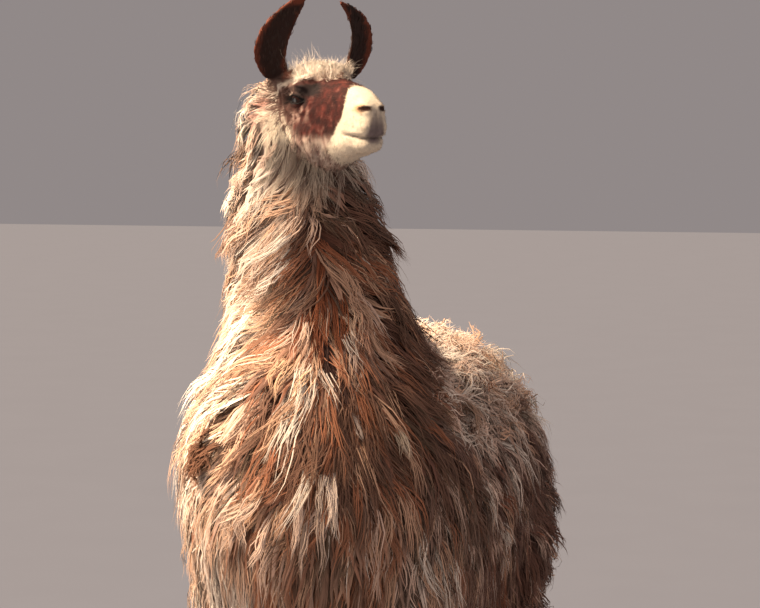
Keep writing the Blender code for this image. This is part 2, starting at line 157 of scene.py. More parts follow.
def wrapped(voxel, lowest, highest):
    """The nodes of flesh wrapped in one skin, kept between two heights."""
    select_only(*[new_object("hide", nodes[node].data.copy()) for node in FLESH])
    bpy.ops.object.join()
    skin = bpy.context.object
    bpy.ops.object.mode_set(mode="EDIT")
    bpy.ops.mesh.select_all(action="SELECT")
    bpy.ops.mesh.remove_doubles(threshold=0.00001)
    bpy.ops.object.mode_set(mode="OBJECT")
    swell = skin.modifiers.new("swell", "DISPLACE")
    swell.strength = SWELL
    swell.mid_level = 0
    wrap = skin.modifiers.new("wrap", "REMESH")
    wrap.mode = "VOXEL"
    wrap.voxel_size = voxel
    for modifier in ("swell", "wrap"):
        bpy.ops.object.modifier_apply(modifier=modifier)
    bpy.ops.object.mode_set(mode="EDIT")
    for height, sign in ((lowest, 1), (highest, -1)):
        if height is not None:
            bpy.ops.mesh.select_all(action="SELECT")
            bpy.ops.mesh.bisect(plane_co=(0, 0, height), plane_no=(0, 0, sign), clear_inner=True)
    bpy.ops.object.mode_set(mode="OBJECT")
    return skin


FLESH = sorted(name for name in nodes if not name.startswith(("eye", "toenail")))
SEAM = 0.002  # left open between the three skins, then bridged
skins = [
    wrapped(FINE, HEAD_CUT + SEAM, None),
    wrapped(COARSE, LEG_CUT + SEAM, HEAD_CUT - SEAM),
    wrapped(MEDIUM, None, LEG_CUT - SEAM),
]
select_only(*skins[1:], skins[0])
bpy.ops.object.join()
hide = bpy.context.object
hide.name = "hide"
bm = bmesh.new()
bm.from_mesh(hide.data)
SEAMS = ((HEAD_CUT, 0, 0), (LEG_CUT, 1, -1), (LEG_CUT, 1, 1), (LEG_CUT, -1, -1), (LEG_CUT, -1, 1))
for height, x_sign, y_sign in SEAMS:  # one round the neck and one round each leg
    rims = []
    for edge in bm.edges:
        if edge.is_boundary:
            middle = (edge.verts[0].co + edge.verts[1].co) / 2
            if abs(middle.z - height) < 2 * SEAM and middle.x * x_sign >= 0 and middle.y * y_sign >= 0:
                rims.append(edge)
    bmesh.ops.bridge_loops(bm, edges=rims)
bmesh.ops.triangulate(bm, faces=[face for face in bm.faces if len(face.verts) > 4])
bmesh.ops.recalc_face_normals(bm, faces=bm.faces)
if bm.calc_volume(signed=True) < 0:
    bmesh.ops.reverse_faces(bm, faces=bm.faces)
bm.to_mesh(hide.data)
bm.free()


def points_of(mesh):
    points = np.empty(len(mesh.vertices) * 3, np.float32)
    mesh.vertices.foreach_get("co", points)
    return points.reshape(-1, 3).astype(float)


def set_points(mesh, points):
    mesh.vertices.foreach_set("co", points.astype(np.float32).ravel())
    mesh.update()


def normals_of(mesh):
    normals = np.empty(len(mesh.vertices) * 3, np.float32)
    mesh.vertex_normals.foreach_get("vector", normals)
    return normals.reshape(-1, 3).astype(float)


def relaxed(points, edges, share, rounds):
    """Each point moved towards the middle of its neighbours, by its share, again and again."""
    count = np.bincount(edges.ravel(), minlength=len(points))[:, None]
    for _ in range(rounds):
        total = np.empty_like(points)
        for axis in range(3):
            total[:, axis] = np.bincount(edges[:, 0], points[edges[:, 1], axis], len(points))
            total[:, axis] += np.bincount(edges[:, 1], points[edges[:, 0], axis], len(points))
        points = points + share[:, None] * (total / count - points)
    return points


edges = np.empty(len(hide.data.edges) * 2, np.int32)
hide.data.edges.foreach_get("vertices", edges)
edges = edges.reshape(-1, 2)
points = points_of(hide.data)
under_wool = ramp(coat_depth(points), 0.004, 0.012)
points = relaxed(points, edges, 0.25 + 0.25 * under_wool, 3)
points = relaxed(points, edges, 0.5 * under_wool, 40)
set_points(hide.data, points)
SINK_STEPS = 4
for _ in range(SINK_STEPS):
    points = points - normals_of(hide.data) * coat_depth(points)[:, None] / SINK_STEPS
    points = relaxed(points, edges, 0.5 * under_wool, 8)
    set_points(hide.data, points)

# Folds of the bare face: the line of the closed mouth, the cleft of the upper lip and the
# creases over and under the eyes.
MOUTH_CORNER = 0.110  # ahead of the eyes


def mouth_height(ahead):
    return np.interp(ahead, (MOUTH_CORNER, 0.140, 0.170), (1.5112, 1.5065, 1.5030))


ahead, right, height = head_space(points)
aside = abs(right)
mouth_z = mouth_height(ahead)
folds = -0.0030 * hump(height, mouth_z, 0.0045) * ramp(ahead, MOUTH_CORNER - 0.004, MOUTH_CORNER + 0.008)
folds += 0.0012 * hump(height, mouth_z + 0.0075, 0.006) * ramp(ahead, 0.120, 0.140)
cleft = ramp(ahead, 0.150, 0.158) * ramp(height, 1.500, 1.507) * ramp(height, 1.549, 1.541)
folds -= 0.0028 * hump(right, 0, 0.0045) * cleft
to_eye = np.hypot(ahead - 0.003, (height - EYES.z) * 1.35)
over_eye = ramp(aside, 0.035, 0.045) * ramp(abs(ahead), 0.050, 0.030)
over_eye *= ramp(height, EYES.z - 0.05, EYES.z - 0.03)
for reach, wide, deep in ((0.0265, 0.0040, -0.0016), (0.0325, 0.0040, 0.0012), (0.0385, 0.0035, -0.0010)):
    folds += deep * hump(to_eye, reach, wide) * over_eye
points = points + normals_of(hide.data) * folds[:, None]

# Lids: folds that close over the balls and leave an almond open between them.
LID_OPEN = (0.0172, 0.0068, 0.0050)  # half length, height over and under the line of the corners
LID_THICK = 0.0027
LID_TILT = math.radians(-5)
LID_EDGE = 1.48  # radians from the gaze, where a lid ends under the skin round it
LID_STEPS, LID_ROWS = 48, 10


def gaze_axes(sign):
    """Forward along the lids, up across them, and out of the eye, on one side of the head."""
    out = (RIGHT * sign).normalized()
    along = UP.cross(out).normalized() * sign
    forward = along * math.cos(LID_TILT) + UP * math.sin(LID_TILT)
    raised = UP * math.cos(LID_TILT) - along * math.sin(LID_TILT)
    return np.array(forward), np.array(raised), np.array(out)


# The skin round the opening lies close under the lids.
for centre, sign in BOTH_EYES:
    forward, raised, out = gaze_axes(sign)
    rel = points - np.array(centre)
    distance = np.linalg.norm(rel, axis=1)
    up = rel @ raised
    tall = np.where(up > 0, LID_OPEN[1], LID_OPEN[2])
    span = np.hypot(rel @ forward / LID_OPEN[0], up / tall)
    reach = np.hypot(rel @ forward / (LID_OPEN[0] + 0.004), up / (tall + 0.006))
    press = ramp(reach, 1.35, 1.0) * (rel @ out > 0) * (distance < 0.036)
    wanted = np.minimum(distance, EYE_RADIUS + 0.0010 - 0.0035 * ramp(span, 1.25, 1.08))
    points = np.array(centre) + rel * (1 + press * (wanted / distance - 1))[:, None]
set_points(hide.data, points)

for centre, sign in BOTH_EYES:
    forward, raised, out = gaze_axes(sign)
    turn = np.linspace(0, 2 * math.pi, LID_STEPS, endpoint=False)
    tall = np.where(np.sin(turn) > 0, LID_OPEN[1], LID_OPEN[2])
    almond = np.stack([LID_OPEN[0] * np.cos(turn), tall * np.sin(turn) * abs(np.sin(turn)) ** 0.15], 1)
    reach = np.hypot(*almond.T)
    spread_of = (almond / reach[:, None]) @ np.array((forward, raised))
    start = np.arcsin(reach / (EYE_RADIUS + 0.0006))
    rows = []
    for row in range(LID_ROWS):
        share = max(0, row - 2) / (LID_ROWS - 3)
        angle = start + (LID_EDGE - start) * share**0.8 + (0.012, 0, 0.02)[min(row, 2)]
        radius = EYE_RADIUS + (-0.0005, 0.0012, LID_THICK * (1 - share) ** 0.8)[min(row, 2)]
        spot = np.outer(np.cos(angle), out) + np.sin(angle)[:, None] * spread_of
        rows.append(np.array(centre) + spot * radius)
    lid_faces = []
    for row in range(LID_ROWS - 1):
        for step in range(LID_STEPS):
            here, after = row * LID_STEPS + step, row * LID_STEPS + (step + 1) % LID_STEPS
            lid_faces.append((here, after, after + LID_STEPS, here + LID_STEPS))
    mesh = bpy.data.meshes.new("lids")
    mesh.from_pydata(np.concatenate(rows).tolist(), [], lid_faces)
    bm = bmesh.new()
    bm.from_mesh(mesh)
    if sum(face.normal.dot(face.calc_center_median() - centre) for face in bm.faces) < 0:
        bmesh.ops.reverse_faces(bm, faces=bm.faces)
    bm.to_mesh(mesh)
    bm.free()
    select_only(new_object("lids", mesh), hide)
    bpy.ops.object.join()
hide.data.polygons.foreach_set("use_smooth", np.ones(len(hide.data.polygons), bool))

# Markings, the same on the skin and on the coat. The wool is brown, bleached by the sun in
# locks of tan, cream and rust. The face has a maroon patch round the eyes, a white muzzle
# and chin, a cream brow and forelock, grey hair below the ears, and near-black ears.
# Painted light and shade lie among them: paler wool on the sunlit right of the neck and
# breast, darker wool on the shaded left, in the crease behind the left shoulder and down the
# parting, a painted shadow over each eye and painted shade on the front of the nose.


def linear(hex_colour):
    """Linear RGB of an sRGB hex colour."""
    channels = [int(hex_colour[i:i + 2], 16) / 255 for i in (1, 3, 5)]
    return [c / 12.92 if c <= 0.04045 else ((c + 0.055) / 1.055) ** 2.4 for c in channels]


WOOLS = ("#FFEDDA", "#D6A788", "#E6C2AC", "#9E5838", "#643B30", "#65473F", "#2A1612")
WOOL_COLOURS = np.array([linear(hex_colour) for hex_colour in WOOLS])
# Share of cream, tan, beige, rust, brown, grey and dark locks in each part of the coat. The pale
# neck and the dark shaded neck are lit and shaded copies of one wool: painted light and painted shade.
WOOL_SHARES = {
    "neck": (0.44, 0.26, 0.18, 0.07, 0.05, 0.00, 0.00),
    "shaded neck": (0.01, 0.07, 0.02, 0.13, 0.51, 0.12, 0.14),
    "nape": (0.44, 0.18, 0.32, 0.03, 0.03, 0.00, 0.00),
    "parting": (0.00, 0.05, 0.00, 0.22, 0.43, 0.00, 0.30),
    "breast": (0.07, 0.36, 0.10, 0.30, 0.13, 0.00, 0.04),
    "flank": (0.04, 0.11, 0.09, 0.08, 0.45, 0.20, 0.03),
    "back": (0.40, 0.12, 0.42, 0.03, 0.03, 0.00, 0.00),
    "leg": (0.24, 0.42, 0.24, 0.03, 0.07, 0.00, 0.00),
}
# The wool parts down the front of the neck, some radians to the animal's left of its middle.
PARTING_HEIGHTS = (1.00, 1.29, 1.38, 1.50)
PARTING_TURNS = (0.32, 0.40, 0.46, 0.80)
# The axis of the neck.
NECK_HEIGHTS = (0.90, 1.12, 1.22, 1.31, 1.39, 1.46, 1.53, 1.60)
NECK_X = (0.000, 0.000, -0.003, -0.005, -0.008, -0.018, -0.014, -0.010)
NECK_Y = (-0.300, -0.353, -0.375, -0.408, -0.438, -0.454, -0.476, -0.487)


def round_neck(points):
    """Angle round the neck from its parting, positive to the left, and the way out from its axis."""
    height = points[:, 2]
    rel = points[:, :2] - np.stack([np.interp(height, NECK_HEIGHTS, line) for line in (NECK_X, NECK_Y)], 1)
    turn = np.interp(height, PARTING_HEIGHTS, PARTING_TURNS)
    angle = np.arctan2(rel[:, 0], -rel[:, 1]) - turn
    return (angle + math.pi) % (2 * math.pi) - math.pi, rel


def behind_fore(points):
    """How far a point lies behind the neck and breast, which end earlier on the left shoulder."""
    x, y, height = points.T
    return y + 0.30 + 1.8 * np.maximum(x - 0.10, 0) * ramp(height, 0.95, 1.05)


def fore_share(points):
    """How far a point belongs to the neck and breast rather than to the trunk."""
    return np.maximum(ramp(behind_fore(points), 0.03, -0.03), ramp(points[:, 2], 1.19, 1.26))


def wool_shares(points):
    """Share of each wool there, with painted light and shade on the neck and breast. Tips hang 100 mm below
    their roots, so colours start higher up.
    """
    x, y, height = points.T
    angle, _ = round_neck(points)
    blur = 0.05 * cloud(points, 0.08, 11)

    found = np.tile(np.array(WOOL_SHARES["flank"]), (len(points), 1))

    def over(part, share):
        nonlocal found
        found = found + (np.array(WOOL_SHARES[part]) - found) * share[:, None]

    over("back", ramp(height + 1.8 * blur, 0.92, 1.02) * ramp(y, -0.55, -0.45))
    in_front = fore_share(points)
    over("neck", in_front)
    # Painted shade: the neck and breast take the dark shaded neck wool on the animal's left, away from the
    # key light.
    division = np.interp(height, (1.00, 1.12, 1.22, 1.32, 1.40), (0.24, 0.24, 0.20, 0.06, 0.00))
    shaded = in_front * ramp(angle + 2 * blur, division, division + 0.20) * ramp(angle, 2.9, 2.3)
    over("shaded neck", shaded * np.interp(height, (0.84, 1.00), (0.38, 1)))
    # Painted shade: the dark shaded neck wool laid in the crease where the left shoulder meets the back.
    crease_shade = hump(behind_fore(points), 0.01, 0.055) * ramp(x, 0.03, 0.08) * ramp(height, 0.92, 1.00)
    over("shaded neck", crease_shade * ramp(height, 1.24, 1.18) * 0.9)
    over("nape", in_front * ramp(angle, -0.75, -1.15) * ramp(height, 1.18, 1.26) * 0.8)
    over("nape", ramp(height + blur, 1.40, 1.50))
    reach_right = np.interp(height, (1.00, 1.14, 1.24, 1.32, 1.38), (0.56, 0.54, 0.44, 0.20, 0.10))
    reach_left = np.interp(height, (1.00, 1.10, 1.16, 1.24, 1.30), (0.50, 0.56, 0.66, 0.58, 0.38))
    reach = np.where(angle > 0, reach_left, reach_right)
    middle = in_front * ramp(abs(angle + blur), reach, reach - 0.16)
    warmth = np.interp(height, (1.12, 1.19, 1.27, 1.31), (1, 0.9, 0.9, 1))
    over("breast", middle * ramp(height, 1.51, 1.46) * warmth)
    # Painted shade: the shaded neck wool in a band down the middle of the lower breast.
    shade_band = np.interp(height, (0.95, 1.03, 1.14, 1.19), (0.10, 0.92, 0.92, 0))
    over("shaded neck", middle * shade_band)
    # Painted light: the paler neck wool on the sunlit lower right of the breast.
    sunlit = ramp(x, -0.09, -0.15) * ramp(y, -0.10, -0.22) * ramp(height + blur, 0.96, 0.88)
    over("neck", sunlit * 0.8)
    # Painted shade: darker wool down the neck's parting, where the locks part.
    parting = hump(height, 1.365, 0.075) * ramp(abs(angle - 0.10), 0.26, 0.12)
    over("parting", middle * parting)
    over("leg", ramp(height + blur, 0.62, 0.42))
    return found / found.sum(1)[:, None]


FACE = {
    name: np.array(linear(hex_colour))
    for name, hex_colour in (
        ("white", "#E7D4BA"), ("cream", "#EFDCC6"), ("maroon", "#441A13"), ("dark", "#1C100E"),
        ("brow", "#7E3D28"), ("grey", "#533A31"), ("blush", "#E09C8A"), ("streak", "#A78778"),
        ("nose", "#66545A"), ("lip", "#3A2C30"), ("nostril", "#3C1E16"), ("ear", "#33201A"),
        ("ear rim", "#84422C"), ("shin", "#C9B196"), ("foot", "#B79C80"), ("amber", "#C98A4A"),
        ("rim of lid", "#0E0807"), ("lash", "#C8AC98"),
    )
}


EAR_ROOT, EAR_LENGTH = (1.588, 0.146)
UNDER_COAT_SHADE = 0.72  # the skin under the wool is painted darker than the wool by this, as shade in the gaps between locks


def markings_with_painted_light(points):
    """Colour of the skin and of the short hair on it, with painted light and shade."""
    base = wool_shares(points) @ WOOL_COLOURS * UNDER_COAT_SHADE
    ahead, right, height = head_space(points)
    aside = abs(right)
    rough = cloud(points, 0.010, 3)
    fine = cloud(points, 0.0045, 4)
    blur = 0.004 * rough + 0.002 * fine

    def over(name, share):
        nonlocal base
        base = base + (FACE[name] - base) * np.clip(share, 0, 1)[:, None]

    over("shin", ramp(height, 0.40, 0.22) * 0.8)
    over("foot", ramp(height, 0.12, 0.06) * 0.7)
    on_face = ramp(ahead + blur, -0.105, -0.080) * head_share(points)
    # Cheek and jaw: a mix of white, grey and brown streaks that runs down and back.
    streaks = cloud(points * np.array((1, 1, 0.35)), 0.006, 5)
    over("streak", on_face)
    over("cream", on_face * ramp(streaks, -0.1, 0.5) * 0.85)
    over("grey", on_face * ramp(streaks, -0.25, -0.6) * 0.8)
    cheek = on_face * ramp(height + blur, 1.514, 1.500) * ramp(ahead, -0.030, -0.010)
    cheek *= ramp(ahead, 0.095, 0.080)
    over("streak", cheek * 0.5)
    over("grey", cheek * ramp(streaks + 0.5 * fine, 0.1, -0.6) * 0.38)
    over("cream", on_face * ramp(height + blur, 1.510, 1.485) * ramp(ahead, 0.075, 0.095))
    # White hair runs down behind the patch, and grey hair from the ear's root round the eye.
    behind = on_face * ramp(ahead + blur, 0.000, -0.014)
    over("white", behind * ramp(height + blur, 1.552, 1.540) * ramp(streaks, -0.7, -0.1) * 0.9)
    over("grey", behind * ramp(height + blur, 1.546, 1.556) * ramp(streaks, 1.2, 0.3) * 0.9)
    brow_line = np.interp(
        ahead, (-0.060, -0.045, -0.033, -0.011, 0.030, 0.090), (1.555, 1.572, 1.585, 1.594, 1.599, 1.603)
    )
    over_line = height + blur - brow_line
    over("cream", on_face * ramp(over_line, -0.003, 0.003) * ramp(ahead + blur, -0.022, -0.006))
    # The maroon patch from behind the eye to the white of the muzzle.
    border = np.interp(
        height, (1.490, 1.505, 1.537, 1.565, 1.584, 1.600), (0.072, 0.083, 0.111, 0.117, 0.108, 0.089)
    )
    low_edge = np.interp(ahead, (-0.02, 0.02, 0.06, 0.10), (1.520, 1.504, 1.500, 1.508))
    back_edge = np.interp(height, (1.500, 1.520, 1.550, 1.570), (-0.004, -0.018, -0.032, -0.052))
    patch = on_face * ramp(ahead + blur, back_edge - 0.006, back_edge + 0.006)
    patch *= ramp(height + blur, low_edge - 0.012, low_edge + 0.012) * ramp(over_line, 0.002, -0.004)
    over("maroon", patch)
    base = base * np.exp(patch * (0.70 * rough + 0.60 * fine + 0.45 * streaks))[:, None]
    over("streak", patch * ramp(fine + 0.6 * streaks, 0.45, 1.1) * 0.20)
    over("grey", patch * ramp(ahead + blur, 0.026, -0.016) * 0.7)
    over("streak", patch * ramp(ahead + blur, 0.012, -0.016) * ramp(streaks, -0.1, 0.4) * 0.7)
    over("cream", on_face * hump(over_line, 0, 0.005) * ramp(ahead, 0.01, 0.00) * 0.75)
    under_eye = patch * hump(ahead, 0.008, 0.045)
    under_eye *= ramp(height, 1.557, 1.549) * ramp(height, 1.524, 1.538)
    over("streak", under_eye * ramp(streaks, -0.2, 0.4) * 0.9)
    over("brow", on_face * hump(ahead, 0.044, 0.034) * hump(over_line, 0.004, 0.006) * 0.9)
    # A painted shadow in the hollow over and in front of each eye.
    shadow = np.hypot((ahead - 0.028) / 0.034, (height - 1.580) / 0.013)
    over("dark", patch * ramp(shadow + 8 * blur, 1.10, 0.55) * ramp(aside, 0.02, 0.03) * 0.95)
    over("white", on_face * ramp(ahead + blur, border - 0.002, border + 0.003))
    over("white", on_face * ramp(height + blur, 1.500, 1.492) * ramp(ahead, 0.060, 0.080))
    # Lids: a dark wet rim, and pale lashes over it.
    for centre, sign in BOTH_EYES:
        forward, raised, out = gaze_axes(sign)
        rel = points - np.array(centre)
        on, up = rel @ forward, rel @ raised
        span = np.hypot(on / LID_OPEN[0], up / np.where(up > 0, *LID_OPEN[1:]))
        near = ramp(np.linalg.norm(rel, axis=1), 0.031, 0.027) * (rel @ out > 0)
        corner = hump(on, -0.022, 0.010) * hump(up, -0.001, 0.0030)
        over("rim of lid", near * corner)
        over("dark", near * ramp(span, 1.75, 1.35) * 0.7)
        over("lash", near * hump(span, 1.50, 0.26) * ramp(up, 0.001, 0.004) * ramp(on, 0.008, -0.002))
        over("rim of lid", near * ramp(span, 1.26, 1.14))
    # The forelock, the blush behind the cheek, the bare lips, and the grey nose: bare skin between the
    # nostrils, spread up the front of the nose as painted shade.
    crown = ramp(height + blur, 1.600, 1.608) * ramp(ahead, -0.075, -0.055) * ramp(ahead, 0.040, 0.028)
    over("cream", on_face * crown * (1 - ear_share(points)))
    ear_foot = hump(ahead, -0.030, 0.030) * hump(aside, 0.052, 0.016)
    over("grey", ear_foot * hump(height, 1.604, 0.016))
    behind_cheek = hump(ahead, -0.100, 0.032) * hump(height, 1.550, 0.026)
    over("blush", behind_cheek * ramp(right, 0.02, 0.04) * 0.85)
    # Grey down the front of the nose: bare skin low between the nostrils, and painted shade higher up, where
    # the front turns from the key light.
    front = ramp(ahead + 0.5 * blur, 0.153, 0.160)
    skin_and_shade_width = np.interp(height, (1.495, 1.506, 1.520, 1.545, 1.556), (0.006, 0.014, 0.010, 0.008, 0.006))
    front *= ramp(height, 1.493, 1.500) * ramp(height, 1.560, 1.553)
    over("nose", front * ramp(aside, skin_and_shade_width + 0.006, skin_and_shade_width) * ramp(height, 1.560, 1.515) * 0.85)
    nostril = np.hypot((ahead - 0.156) / 2.0, (height - 1.5505) * 1.2)
    wing = on_face * ramp(nostril, 0.012, 0.006) * ramp(aside, 0.010, 0.016)
    over("amber", wing * ramp(ahead, 0.160, 0.150) * 0.7)
    over("nostril", on_face * ramp(nostril, 0.0068, 0.0035) * ramp(aside, 0.004, 0.010))
    over("lip", on_face * hump(height, mouth_height(ahead), 0.0034) * ramp(ahead, 0.108, 0.118) * 0.8)
    # The ears are near-black, with a red-brown edge and tip.
    share = np.clip((height - EAR_ROOT) / EAR_LENGTH, 0, 1)
    half = np.interp(
        share, (0, 0.15, 0.38, 0.62, 0.82, 0.94, 1), (0.014, 0.022, 0.027, 0.026, 0.0195, 0.0115, 0.003)
    )
    sway = 0.073 + 0.015 * np.sin(math.pi * share) - 0.036 * share**2.2
    from_axis = 0.94 * (aside - sway) - 0.34 * (ahead + 0.030 - 0.039 * share**1.8)
    outer = ramp(from_axis / half + 0.15 * fine, 0.45, 1.0)
    inner = 0.5 * ramp(-from_axis / half + 0.15 * fine, 0.75, 1.0)
    edge = np.maximum(np.maximum(outer, inner), ramp(share + 0.1 * rough, 0.80, 0.98))
    over("ear", ear_share(points))
    over("ear rim", ear_share(points) * edge * 0.8)
    return base


def add_node(tree, kind, sockets=None, **settings):
    """A shader node with its settings. A socket holds the value given, or is fed by the socket given."""
    node = tree.nodes.new("ShaderNode" + kind)
    for name, value in settings.items():
        setattr(node, name, value)
    for socket, value in (sockets or {}).items():
        if isinstance(value, bpy.types.NodeSocket):
            tree.links.new(value, node.inputs[socket])
        else:
            node.inputs[socket].default_value = value
    return node


def new_material(name):
    """An empty material whose output waits for a surface."""
    made = bpy.data.materials.new(name)
    made.use_nodes = True
    made.node_tree.nodes.clear()
    return made, made.node_tree


def paint(mesh, colours):
    """Stores linear colours, one for each point, as the attribute named coat."""
    layer = mesh.color_attributes.new("coat", "FLOAT_COLOR", "POINT")
    values = np.ones((len(mesh.vertices), 4), np.float32)
    values[:, :3] = colours
    layer.data.foreach_set("color", values.ravel())


paint(hide.data, markings_with_painted_light(points_of(hide.data)))

# Short hair on skin: hairs under 0.1 mm lie flat in rows that show as a fine nap. Drawn at
# 1.2 mm, as a nap of single hairs would not show. It is dry and scatters light widely.
short_hair, tree = new_material("short flat llama hair on skin")
place = add_node(tree, "TexCoord").outputs["Object"]
lie = add_node(
    tree, "Mapping", {"Vector": place, "Rotation": (0, 0, math.radians(-48)), "Scale": (1, 0.22, 0.8)}
)
hair_rows = add_node(
    tree, "TexNoise", {"Vector": lie.outputs[0], "Scale": 830, "Detail": 3, "Roughness": 0.6}
)
tufts = add_node(tree, "TexNoise", {"Vector": place, "Scale": 120, "Detail": 2})
coat = add_node(tree, "Attribute", attribute_name="coat").outputs["Color"]
shade = add_node(
    tree, "MapRange",
    {"Value": hair_rows.outputs["Fac"], "From Min": 0.3, "From Max": 0.7, "To Min": 0.78, "To Max": 1.12},
)
tone = add_node(tree, "VectorMath", {0: coat, 1: shade.outputs[0]}, operation="MULTIPLY")
relief = add_node(tree, "Math", {0: hair_rows.outputs["Fac"], 1: tufts.outputs["Fac"]}, operation="ADD")
nap = add_node(tree, "Bump", {"Height": relief.outputs[0], "Strength": 0.5, "Distance": 0.0008})
surface = add_node(
    tree, "BsdfPrincipled",
    {"Base Color": tone.outputs[0], "Normal": nap.outputs[0], "Roughness": 0.80, "Specular IOR Level": 0.25},
)
add_node(tree, "OutputMaterial", {"Surface": surface.outputs[0]})
hide.data.materials.clear()
hide.data.materials.append(short_hair)
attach(hide, "root")
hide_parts(*FLESH)

# --- Eyes ------------------------------------------------------------------------------
# Large, dark brown, wet balls with a wide level pupil, set behind the lids. A clear bulge
# over the iris gives the glint.

wet_eye, tree = new_material("wet dark brown eye")
ball_place = add_node(tree, "Attribute", attribute_name="iris").outputs["Vector"]
squashed = add_node(tree, "Mapping", {"Vector": ball_place, "Scale": (0.62, 1.5, 0.0)})
pupil_reach = add_node(tree, "VectorMath", {0: squashed.outputs[0]}, operation="LENGTH")
pupil = add_node(
    tree, "MapRange", {"Value": pupil_reach.outputs["Value"], "From Min": 0.26, "From Max": 0.34},
    interpolation_type="SMOOTHSTEP",
)
level = add_node(tree, "Mapping", {"Vector": ball_place, "Scale": (1, 1, 0)})
iris_reach = add_node(tree, "VectorMath", {0: level.outputs[0]}, operation="LENGTH")
rim = add_node(
    tree, "MapRange", {"Value": iris_reach.outputs["Value"], "From Min": 0.62, "From Max": 0.80},
    interpolation_type="SMOOTHSTEP",
)
rays = add_node(tree, "TexNoise", {"Vector": ball_place, "Scale": 9, "Detail": 3})
iris = add_node(
    tree, "Mix", {0: rays.outputs["Fac"], 6: (*linear("#0E0705"), 1), 7: (*linear("#34190E"), 1)},
    data_type="RGBA",
)
with_pupil = add_node(
    tree, "Mix", {0: pupil.outputs[0], 6: (*linear("#050304"), 1), 7: iris.outputs[2]}, data_type="RGBA"
)
with_rim = add_node(
    tree, "Mix", {0: rim.outputs[0], 6: with_pupil.outputs[2], 7: (*linear("#0C0706"), 1)}, data_type="RGBA"
)
surface = add_node(
    tree, "BsdfPrincipled",
    {"Base Color": with_rim.outputs[2], "Roughness": 0.15, "Specular IOR Level": 0.15, "Coat Weight": 0.35,
     "Coat Roughness": 0.03},
)
add_node(tree, "OutputMaterial", {"Surface": surface.outputs[0]})

BULGE = 0.05  # of the radius, where the clear front of the eye stands out
BALL_SHARE = 0.985  # of the radius of the solid, so the ball stays clear of the lids
for side, centre, sign in (("right", eye_right, 1), ("left", eye_left, -1)):
    forward, raised, out = gaze_axes(sign)
    select_only()
    bpy.ops.mesh.primitive_uv_sphere_add(segments=48, ring_count=32, radius=EYE_RADIUS)
    eyeball = bpy.context.object
    eyeball.name = f"eyeball_{side}"
    ball = points_of(eyeball.data)
    outward = ball[:, 2] / EYE_RADIUS
    iris_at = ball / EYE_RADIUS
    ball *= (1 + BULGE * ramp(outward, 0.72, 1.0))[:, None] * BALL_SHARE
    turned = ball @ np.array((forward * sign, raised, out))
    set_points(eyeball.data, turned + np.array(centre))
    layer = eyeball.data.attributes.new("iris", "FLOAT_VECTOR", "POINT")
    layer.data.foreach_set("vector", iris_at.astype(np.float32).ravel())
    bpy.ops.object.shade_smooth()
    eyeball.data.materials.append(wet_eye)
    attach(eyeball, "root")
    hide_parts(f"eye_{side}")

# --- Toenails --------------------------------------------------------------------------
# Each of the two toes of a foot ends in a short, dark, curved horn nail, worn blunt.

horn, tree = new_material("dark worn toenail horn")
place = add_node(tree, "TexCoord").outputs["Object"]
along = add_node(tree, "Mapping", {"Vector": place, "Scale": (1, 0.2, 1)})
grain = add_node(tree, "TexNoise", {"Vector": along.outputs[0], "Scale": 500, "Detail": 4})
tone = add_node(
    tree, "Mix", {0: grain.outputs["Fac"], 6: (*linear("#211A17"), 1), 7: (*linear("#5E5044"), 1)},
    data_type="RGBA",
)
ridges = add_node(tree, "Bump", {"Height": grain.outputs["Fac"], "Strength": 0.4, "Distance": 0.0004})
surface = add_node(
    tree, "BsdfPrincipled",
    {"Base Color": tone.outputs[2], "Normal": ridges.outputs[0], "Roughness": 0.42, "IOR": 1.54},
)
add_node(tree, "OutputMaterial", {"Surface": surface.outputs[0]})

TIP_NARROWS, TIP_FLATTENS, TIP_DROPS = (0.30, 0.25, 0.30)  # shares of the nail's half size
NAIL_REACH = 1.12  # the nail is longer than its solid by this, and grows out of the toe
NAIL_AHEAD = (0, -0.002, 0)
for node in sorted(name for name in nodes if name.startswith("toenail")):
    low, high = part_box(node)
    middle, half = (low + high) / 2, (high - low) / 2
    select_only()
    bpy.ops.mesh.primitive_uv_sphere_add(segments=24, ring_count=16, radius=1)
    nail = bpy.context.object
    nail.name = node.replace("toenail", "nail")
    form = points_of(nail.data)
    tip = ramp(-form[:, 1], 0.0, 1.0)
    form[:, 0] *= 1 - TIP_NARROWS * tip
    form[:, 2] = form[:, 2] * (1 - TIP_FLATTENS * tip) - TIP_DROPS * tip
    form = form * np.array(half) * np.array((1, NAIL_REACH, 1)) + np.array(middle) + np.array(NAIL_AHEAD)
    set_points(nail.data, form)
    bpy.ops.object.shade_smooth()
    nail.data.materials.append(horn)
    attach(nail, "root")
    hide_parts(node)

# --- Wool ------------------------------------------------------------------------------
# Long, soft, uncombed wool over the neck, trunk and thighs. It hangs in pointed locks that
# part down the front of the neck and sweep back and down. Each lock is a bunch of thin
# closed tapering wisps, rooted in the skin and drawn together towards its tip.

